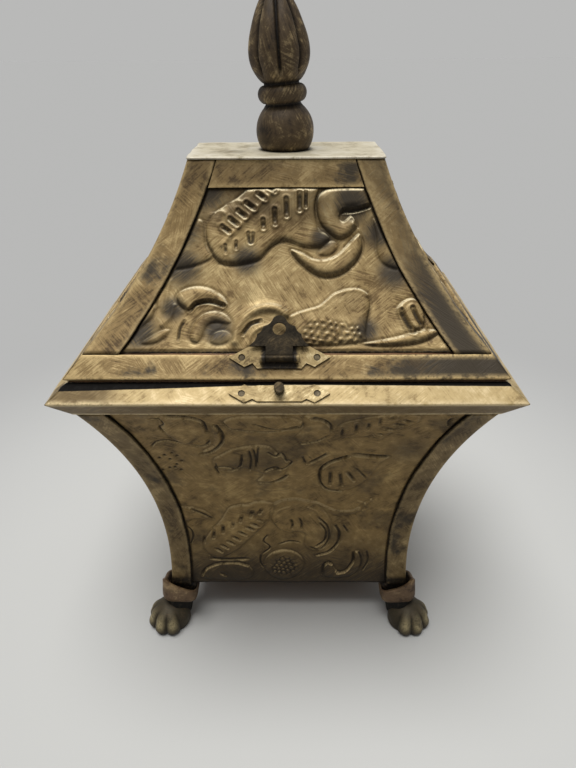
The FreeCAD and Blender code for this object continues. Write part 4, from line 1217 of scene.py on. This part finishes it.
def gilt(name, deep, middle, pale, wax=WAX, soot=SOOT, brightest=None, stroke=0.4, spots=0.5, metallic=0.3,
         dirt=None, brighten=None, sooty=None, reach=NARROW, laid=True):
    """Gilt metal: brushed paint with sooty places, pale wear and painted highlights on the drawn places,
    and dark wax with painted shade in the drawn and occluded low ones."""
    material, tree, shader, place = finish_of(name, metallic, laid)
    colors = {"Deep": paint(deep), "Middle": paint(middle), "Pale": paint(pale), "Soot": paint(soot)}
    amounts = {"Stroke": stroke, "Sooty": sooty(tree) if sooty else 0.0, "Spots": spots}
    coat = use(tree, GILT_PAINT, {"Place": place, **colors, **amounts})
    color = coat["Color"]
    if brighten:
        brightened = use(tree, BRIGHTENED_PLACES, {"Place": place, "Drawn": brighten(tree)})["Mask"]
        color = blended(tree, brightened, color, paint(brightest or pale))
    low = {"Place": place, "Drawn": dirt(tree) if dirt else 0.0, "Reach": reach}
    dirty_and_shaded = use(tree, WAX_AND_PAINTED_SHADE, low)["Mask"]
    color = blended(tree, dirty_and_shaded, color, paint(wax))
    levels = {"Value": coat["Tone"], "From Min": 0.3, "From Max": 0.7, "To Min": 0.62, "To Max": 0.42}
    rough = plus(tree, put(tree, "MapRange", levels).outputs["Result"], times(tree, dirty_and_shaded, 0.2))
    marks = plus(tree, coat["Tone"], times(tree, coat["Strokes"], 0.6))
    cover(tree, shader, color, rough, marks, 0.4, 0.0004)
    return material


def wood(name, dark, light):
    """Plain wood: rings stretched along the grain, pores, a broad change of tone, and dirt with painted
    shade darkening the narrow gaps."""
    material, tree, shader, place = finish_of(name, 0.0)
    warp = noise(tree, stretched(tree, place, (0.012, 0.09, 0.09)), 1.0, 3.0, 0.5)
    grain = noise(tree, stretched(tree, place, (0.03, 0.9, 0.9)), 1.0, 4.0, 0.6)
    pores = noise(tree, stretched(tree, place, (0.12, 4.0, 4.0)), 1.0, 2.0, 0.5)
    tone = plus(tree, times(tree, warp, 0.5), times(tree, grain, 0.5))
    color = blended(tree, spread(tree, tone, 0.35, 0.65), paint(dark), paint(light))
    color = blended(tree, times(tree, spread(tree, pores, 0.45, 0.3), 0.5), color, paint(dark))
    dirty_and_shaded = use(tree, WAX_AND_PAINTED_SHADE, {"Place": place, "Drawn": 0.0, "Reach": NARROW})["Mask"]
    color = blended(tree, dirty_and_shaded, color, paint(WAX))
    cover(tree, shader, color, spread(tree, tone, 0.9, -0.3), grain, 0.3, 0.0003)
    return material


def masked(name):
    """A drawn mask, read as it is."""
    return lambda tree: drawn(tree, name)


def lit_flanks(low, high):
    """Painted highlight on the relief's upper flanks, from a gentle slope to a steep one."""
    return lambda tree: spread(tree, drawn(tree, "slope"), low, high)


def sheet_dirt_and_shade(tree):
    """Dark chased lines, painted shade along the strips' edges and painted shade on the relief's lower
    flanks.
    """
    under = times(tree, spread(tree, drawn(tree, "slope"), -0.12, -0.75), 0.75)
    return most(tree, under, most(tree, drawn(tree, "dark"), drawn(tree, "gap_shade")))


def rim_soot_and_shade(tree):
    """Painted shade on the rim's underside, and soot at the left end of its front."""
    under = times(tree, between(tree, "Z", 142.2, 141.2), 0.8)
    left = times(tree, between(tree, "X", -48.0, -66.0), 0.75)
    return most(tree, under, times(tree, between(tree, "Y", -55.0, -56.0), left))


def rim_painted_shadow(tree):
    """Painted shadow: the black line of shade under the lid's front, thin in the middle, wider to the right
    and widest to the left."""
    aside = times(tree, work(tree, "ABSOLUTE", axis(tree, "X")), 0.012)
    left = times(tree, axis(tree, "X"), -0.0067)
    tilt = plus(tree, axis(tree, "Z"), plus(tree, aside, left))
    front = times(tree, between(tree, "Y", -57.6, -58.0), 1.7)
    return times(tree, spread(tree, tilt, 146.6, 146.85), front)


def strip_soot(tree):
    """The lid's strips are sootier to the top and, at the front, to the right."""
    front = times(tree, between(tree, "Y", 0.0, -20.0), 3.2)
    right = times(tree, between(tree, "X", 20.0, 70.0), front)
    return times(tree, plus(tree, right, between(tree, "Z", 185.0, 214.0)), 0.42)


def paw_soot(tree):
    """A foot's ankle and paw."""
    return times(tree, drawn(tree, "paw"), 0.8)


def hasp_soot(tree):
    """The middle of the hasp's plate, behind the flap."""
    aside = work(tree, "ABSOLUTE", plus(tree, axis(tree, "X"), 2.3))
    return spread(tree, aside, 7.5, 5.0)


# The sheets' brightest colour is a painted highlight on the upper flanks of the relief.
lid_sheet = gilt(
    "lid_sheet", (112, 90, 56), (158, 134, 90), (200, 176, 126), brightest=(244, 228, 188), stroke=0.6,
    spots=0.3, dirt=sheet_dirt_and_shade, brighten=lit_flanks(0.3, 1.0), sooty=masked("soot"), reach=0.003)
body_sheet = gilt(
    "body_sheet", (88, 70, 40), (132, 107, 63), (168, 141, 89), soot=(50, 40, 26), brightest=(184, 160, 114),
    spots=0.55, dirt=sheet_dirt_and_shade, brighten=lit_flanks(0.14, 0.7), sooty=masked("soot"), reach=0.003)
lid_brass = gilt(
    "lid_brass", (88, 70, 45), (142, 118, 77), (196, 170, 120), stroke=0.5, spots=0.95, dirt=masked("gap_shade"),
    brighten=masked("edge"), sooty=strip_soot)
body_brass = gilt(
    "body_brass", (76, 61, 38), (112, 93, 60), (156, 134, 92), soot=(46, 38, 27), spots=0.8,
    dirt=masked("gap_shade"), brighten=masked("edge"))
# Its near-black wax colour is also the painted shadow line under the lid, and its soot colour the painted
# shade of its underside.
rim_gilt = gilt(
    "rim_gilt", (142, 120, 80), (184, 161, 114), (214, 193, 150), (12, 9, 6), (100, 82, 52), stroke=0.35,
    spots=0.3, dirt=rim_painted_shadow, brighten=masked("edge"), sooty=rim_soot_and_shade)
plate_gilt = gilt(
    "plate_gilt", (160, 148, 122), (204, 194, 168), (228, 220, 200), soot=(96, 86, 66), brighten=masked("edge"),
    reach=0.002)
finial_paint = gilt(
    "finial_paint", (46, 37, 27), (82, 67, 47), (178, 156, 114), (14, 11, 8), (36, 30, 23), stroke=0.35,
    metallic=0.15, dirt=masked("dark"), reach=0.002)
# Its near-black wax colour is the painted shade under and inside the bracket.
cast_feet = gilt(
    "cast_feet", (68, 53, 40), (104, 83, 62), (156, 132, 96), (6, 5, 4), (62, 56, 41), (170, 156, 118),
    stroke=0.3, spots=0.4, dirt=masked("dark"), brighten=masked("brighten"), sooty=paw_soot, reach=0.004, laid=False)
BRASS = ((110, 92, 60), (164, 142, 98), (214, 194, 148), (20, 16, 11))
fitting_brass = gilt("fitting_brass", *BRASS, spots=0.3, laid=False)
hasp_brass = gilt("hasp_brass", *BRASS, (40, 34, 26), spots=0.3, sooty=hasp_soot, laid=False)
dark_metal = gilt(
    "dark_metal", (24, 20, 13), (38, 32, 22), (66, 55, 37), (8, 6, 4), (20, 16, 11), spots=0.3,
    metallic=0.75, laid=False)
nail_steel = gilt("nail_steel", (54, 46, 33), (86, 74, 53), (126, 112, 84), (20, 17, 14), laid=False)
box_wood = wood("box_wood", (92, 62, 38), (156, 116, 76))


def wear(piece, material):
    piece.data.materials.clear()
    piece.data.materials.append(material)


# Sooty spots of the sheets: place along the wall, place up it, radius.
LID_SOOT = [
    (-28, 58, 9), (-38, 44, 9), (-37, 31, 8), (23, 53, 9), (33, 43, 7), (-14, 33, 6), (38, 29, 7),
    (-52, 8, 8), (13, 41, 5), (28, 8, 5), (-24, 8, 6), (-40, 16, 5),
]
BODY_SOOT = [
    (48, 88, 12), (-20, 78, 10), (-42, 28, 10), (20, 30, 12), (-5, 10, 14), (35, 8, 10), (-38, 8, 12),
]


def lid_ornament(x, up):
    """Ornament of the lid's front, moved to its place on the sheet, and its soot, which grows to the
    top."""
    height, dark = pressed(x - 1.3, up - 1.9, LID_LEAVES, LID_RIDGES, LID_GROOVES, LID_GRAPES, [])
    return height, dark, np.maximum(patches(x, up, LID_SOOT), 0.5 * ease((up - 34) / 18))


def body_ornament(x, up):
    """Ornament of the body's front, moved and turned a little on the sheet, and its soot, which grows
    downwards."""
    along, rise = x - 0.24 - 0.01 * up, up - 0.017 * x
    height, dark = pressed(along, rise, BODY_LEAVES, BODY_RIDGES, BODY_GROOVES, BODY_GRAPES, BODY_DOTS)
    return height, dark, np.maximum(0.6 * patches(x, up, BODY_SOOT), 0.9 * ease((55 - up) / 60))


# How each side shows the front's ornament: its direction and shift along the wall, and the pitch of the
# lid's and the body's grid.
REPEATS = {
    "front": (1.0, 0.0, 0.36, 0.42),
    "right": (-1.0, 9.0, 0.6, 0.65),
    "back": (-1.0, 0.0, 0.6, 0.65),
    "left": (1.0, 11.0, 0.6, 0.65),
}
for side in SIDES:
    hand, shift, lid_pitch, body_pitch = REPEATS[side[0]]
    panel = sheet_panel(
        "lid_%s_panel" % side[0], "lid", side, LID, LID_BREAK, LID_TOP, lid_pitch,
        lambda x, up: lid_ornament(hand * (x + shift), up), lambda z: LID_TOP - TOP_STRIP - z, 11)
    wear(panel, lid_sheet)
    panel = sheet_panel(
        "body_%s_panel" % side[0], "box", side, BODY, BODY_FOOT, SOFFIT, body_pitch,
        lambda x, up: body_ornament(hand * (x + shift), up), lambda z: SOFFIT - z, 21)
    wear(panel, body_sheet)

SHADED_FOOT = 6.0
for count, (corner, hands) in enumerate(CORNERS.items()):
    lid_seed, body_seed = 31 + 4 * count, 51 + 4 * count
    strip = corner_strip("lid_%s_strip" % corner, "lid", LID, LID_BREAK, LID_TOP, hands, 0.0, lid_seed)
    wear(strip, lid_brass)
    strip = corner_strip(
        "body_%s_strip" % corner, "box", BODY, BODY_FOOT, SOFFIT, hands, SHADED_FOOT, body_seed)
    wear(strip, body_brass)
    wear(paw_foot("foot_%s" % corner, hands), cast_feet)


# Sections of the straight mouldings, as corners of (inset, height). The bottom strips lie on the slope
# from the lid's foot to the break.
LID_FOOT = (7.0, 147.3)
SLOPE_START = 0.4
SLOPE_STRIP = 2.0
break_angle = math.asin((LID_BREAK - LID[1]) / LID[2])
break_in = LID[0] + (LID[2] + WALL) * math.cos(break_angle) - LID_FOOT[0]
break_up = LID[1] + (LID[2] + WALL) * math.sin(break_angle) - LID_FOOT[1]
slope = math.hypot(break_in, break_up)
slope_in, slope_up = break_in / slope, break_up / slope


def on_slope(along, out):
    """Point of the lid's foot slope: a way up it and a height off it."""
    return LID_FOOT[0] + along * slope_in - out * slope_up, LID_FOOT[1] + along * slope_up + out * slope_in


slope_corners = ((SLOPE_START, 0.0), (SLOPE_START, SLOPE_STRIP), (slope, SLOPE_STRIP), (slope, 0.0))
BOTTOM_SECTION = [on_slope(*corner) for corner in slope_corners]
top_low = LID_TOP - TOP_STRIP
top_corners = ((0.0, top_low), (0.0, LID_TOP), (STRIP, LID_TOP), (STRIP, top_low))
TOP_SECTION = [(inset(LID, depth, height), height) for depth, height in top_corners]
RIM_TIP, RIM_TOP, LEDGE = 142.3, 147.0, 139.5
RIM_TOP_INSET = 6.4
lining = inset(BODY, LINING, LEDGE)
RIM_SECTION = [
    (0.0, RIM_TIP), (RIM_TOP_INSET, RIM_TOP), (lining, RIM_TOP), (lining, LEDGE),
    (inset(BODY, WALL, LEDGE), LEDGE), (inset(BODY, WALL, SOFFIT), SOFFIT), (SOFFIT_INSET, SOFFIT),
]
TOP_STRIP_PLAY = 0.4


def mitred(half):
    """Ends that meet the next side's on the corner's mitre."""
    return lambda depth, height: half - depth


def between_strips(half):
    """Ends that stop at the edges of the corner strips."""
    return lambda depth, height: half - inset(LID, STRIP_WIDTH + TOP_STRIP_PLAY, height)


# The straight mouldings: name, body, slot, section, edge radius, ends, waver, first seed, material.
MOULDINGS = (
    ("lid_%s_bottom_strip", "lid", "strips", BOTTOM_SECTION, 0.5, mitred, 0.1, 71, lid_brass),
    ("lid_%s_top_strip", "lid", "strips", TOP_SECTION, 0.3, between_strips, 0.08, 76, lid_brass),
    ("rim_%s", "box", "gilt_moulding", RIM_SECTION, 0.5, mitred, 0.1, 81, rim_gilt),
)
for count, side in enumerate(SIDES):
    for name, body, slot, section, radius, ends, waver, seed, material in MOULDINGS:
        reach = ends(side[3])
        piece = moulding(name % side[0], body, side, section, radius, reach, waver, seed + count)
        wear(piece, material)
wear(top_plate("lid_top_plate"), plate_gilt)
wear(turned_finial("finial"), finial_paint)

# Pieces that keep the solid's own shape: these are metal, and the rest are wood.
KEPT = {
    "hasp_plate": hasp_brass, "catch_plate": fitting_brass, "hasp_flap": dark_metal,
    "catch_hook": dark_metal, "hasp_pin": dark_metal,
}
for name in ("hinge_box_leaf_left", "hinge_box_leaf_right", "hinge_lid_leaf_left", "hinge_lid_leaf_right"):
    KEPT[name] = fitting_brass
for name in ("hinge_pins", "box_nails", "lid_nails", "foot_screws"):
    KEPT[name] = nail_steel
for name, node in nodes.items():
    wear(node, KEPT.get(name, box_wood))

# A broad pale floor under the feet, in metres; its shade deepens with the distance in millimetres.
FLOOR_HALF = 12.0
FLOOR_ROWS = 41
SHADE_NEAR, SHADE_FAR = 110.0, 340.0
rows = np.linspace(-FLOOR_HALF, FLOOR_HALF, FLOOR_ROWS)
floor_x, floor_y = np.meshgrid(rows, rows, indexing="ij")
floor_points = np.stack([floor_x, floor_y, 0 * floor_x], -1).reshape(-1, 3)
place = np.arange(FLOOR_ROWS**2).reshape(FLOOR_ROWS, FLOOR_ROWS)
floor_faces = np.stack([place[:-1, :-1], place[1:, :-1], place[1:, 1:], place[:-1, 1:]], -1).reshape(-1, 4)
floor_mesh = bpy.data.meshes.new("floor")
floor_mesh.from_pydata(floor_points, [], floor_faces.tolist())
floor = bpy.data.objects.new("floor", floor_mesh)
bpy.context.scene.collection.objects.link(floor)
material, tree, shader, where = finish_of("pale_floor", 0.0)
shade = blended(tree, noise(tree, where, 0.004, 2.0, 0.5), paint((192, 192, 189)), paint((199, 199, 196)))
distance = put(tree, "VectorMath", {0: where}, operation="LENGTH").outputs["Value"]
shade = blended(tree, spread(tree, distance, SHADE_NEAR, SHADE_FAR), shade, paint((170, 170, 169)))
feed(tree, shader, {"Base Color": shade, "Roughness": 0.9, "Specular IOR Level": 0.0})
wear(floor, material)

# Soft light: a broad sky high above the box, a little to the front, and a room that is dimmer near the
# floor. Seen straight or in a reflection, the room is one pale tone.
SKY_ENERGY = 2.75
SKY_ANGLE = math.radians(40.0)
SKY_TILT = (math.radians(4.0), math.radians(-6.0), 0.0)
ROOM_LOW = (0.02, 0.02, 0.02, 1.0)
ROOM_HIGH = (0.62, 0.62, 0.62, 1.0)
ROOM_SEEN = (185, 185, 184)
lamp = bpy.data.objects.new("lamp", bpy.data.lights.new("lamp", "SUN"))
lamp.data.energy = SKY_ENERGY
lamp.data.angle = SKY_ANGLE
lamp.rotation_euler = SKY_TILT
bpy.context.scene.collection.objects.link(lamp)
world = bpy.data.worlds.new("room")
world.use_nodes = True
bpy.context.scene.world = world
tree = world.node_tree
even = tree.nodes["Background"]
upward = put(tree, "SeparateXYZ", {0: put(tree, "TexCoord").outputs["Generated"]}).outputs["Z"]
feed(tree, even, {"Color": blended(tree, spread(tree, upward, 0.35, 1.0), ROOM_LOW, ROOM_HIGH)})
pale = put(tree, "Background", {"Color": paint(ROOM_SEEN), "Strength": 1.0})
ray = put(tree, "LightPath").outputs
seen = most(tree, most(tree, ray["Is Camera Ray"], ray["Is Glossy Ray"]), ray["Is Transmission Ray"])
mixed = put(tree, "MixShader", {0: seen, 1: even.outputs[0], 2: pale.outputs[0]})
feed(tree, tree.nodes["World Output"], {"Surface": mixed.outputs[0]})

# Camera as the photo saw the box: a hand's breadth above the lid, looking down a little to the left.
PITCH = math.radians(30.5)
YAW = math.radians(-0.685)
ROLL = math.radians(-0.441)
EYE = (2.69, -229.6, 247.5)
LENS = 27.05
ahead = np.array([math.sin(YAW) * math.cos(PITCH), math.cos(YAW) * math.cos(PITCH), -math.sin(PITCH)])
level = np.array([math.cos(YAW), -math.sin(YAW), 0.0])
right = math.cos(ROLL) * level + math.sin(ROLL) * np.cross(level, ahead)
upward = np.cross(right, ahead)
camera = bpy.data.objects.new("camera", bpy.data.cameras.new("camera"))
camera.data.lens = LENS
turn = np.eye(4)
turn[:3] = np.stack([right, upward, -ahead, np.array(EYE) * MM], -1)
camera.matrix_world = Matrix(turn.tolist())
bpy.context.scene.collection.objects.link(camera)
bpy.context.scene.camera = camera
bpy.context.scene.view_settings.view_transform = "Standard"
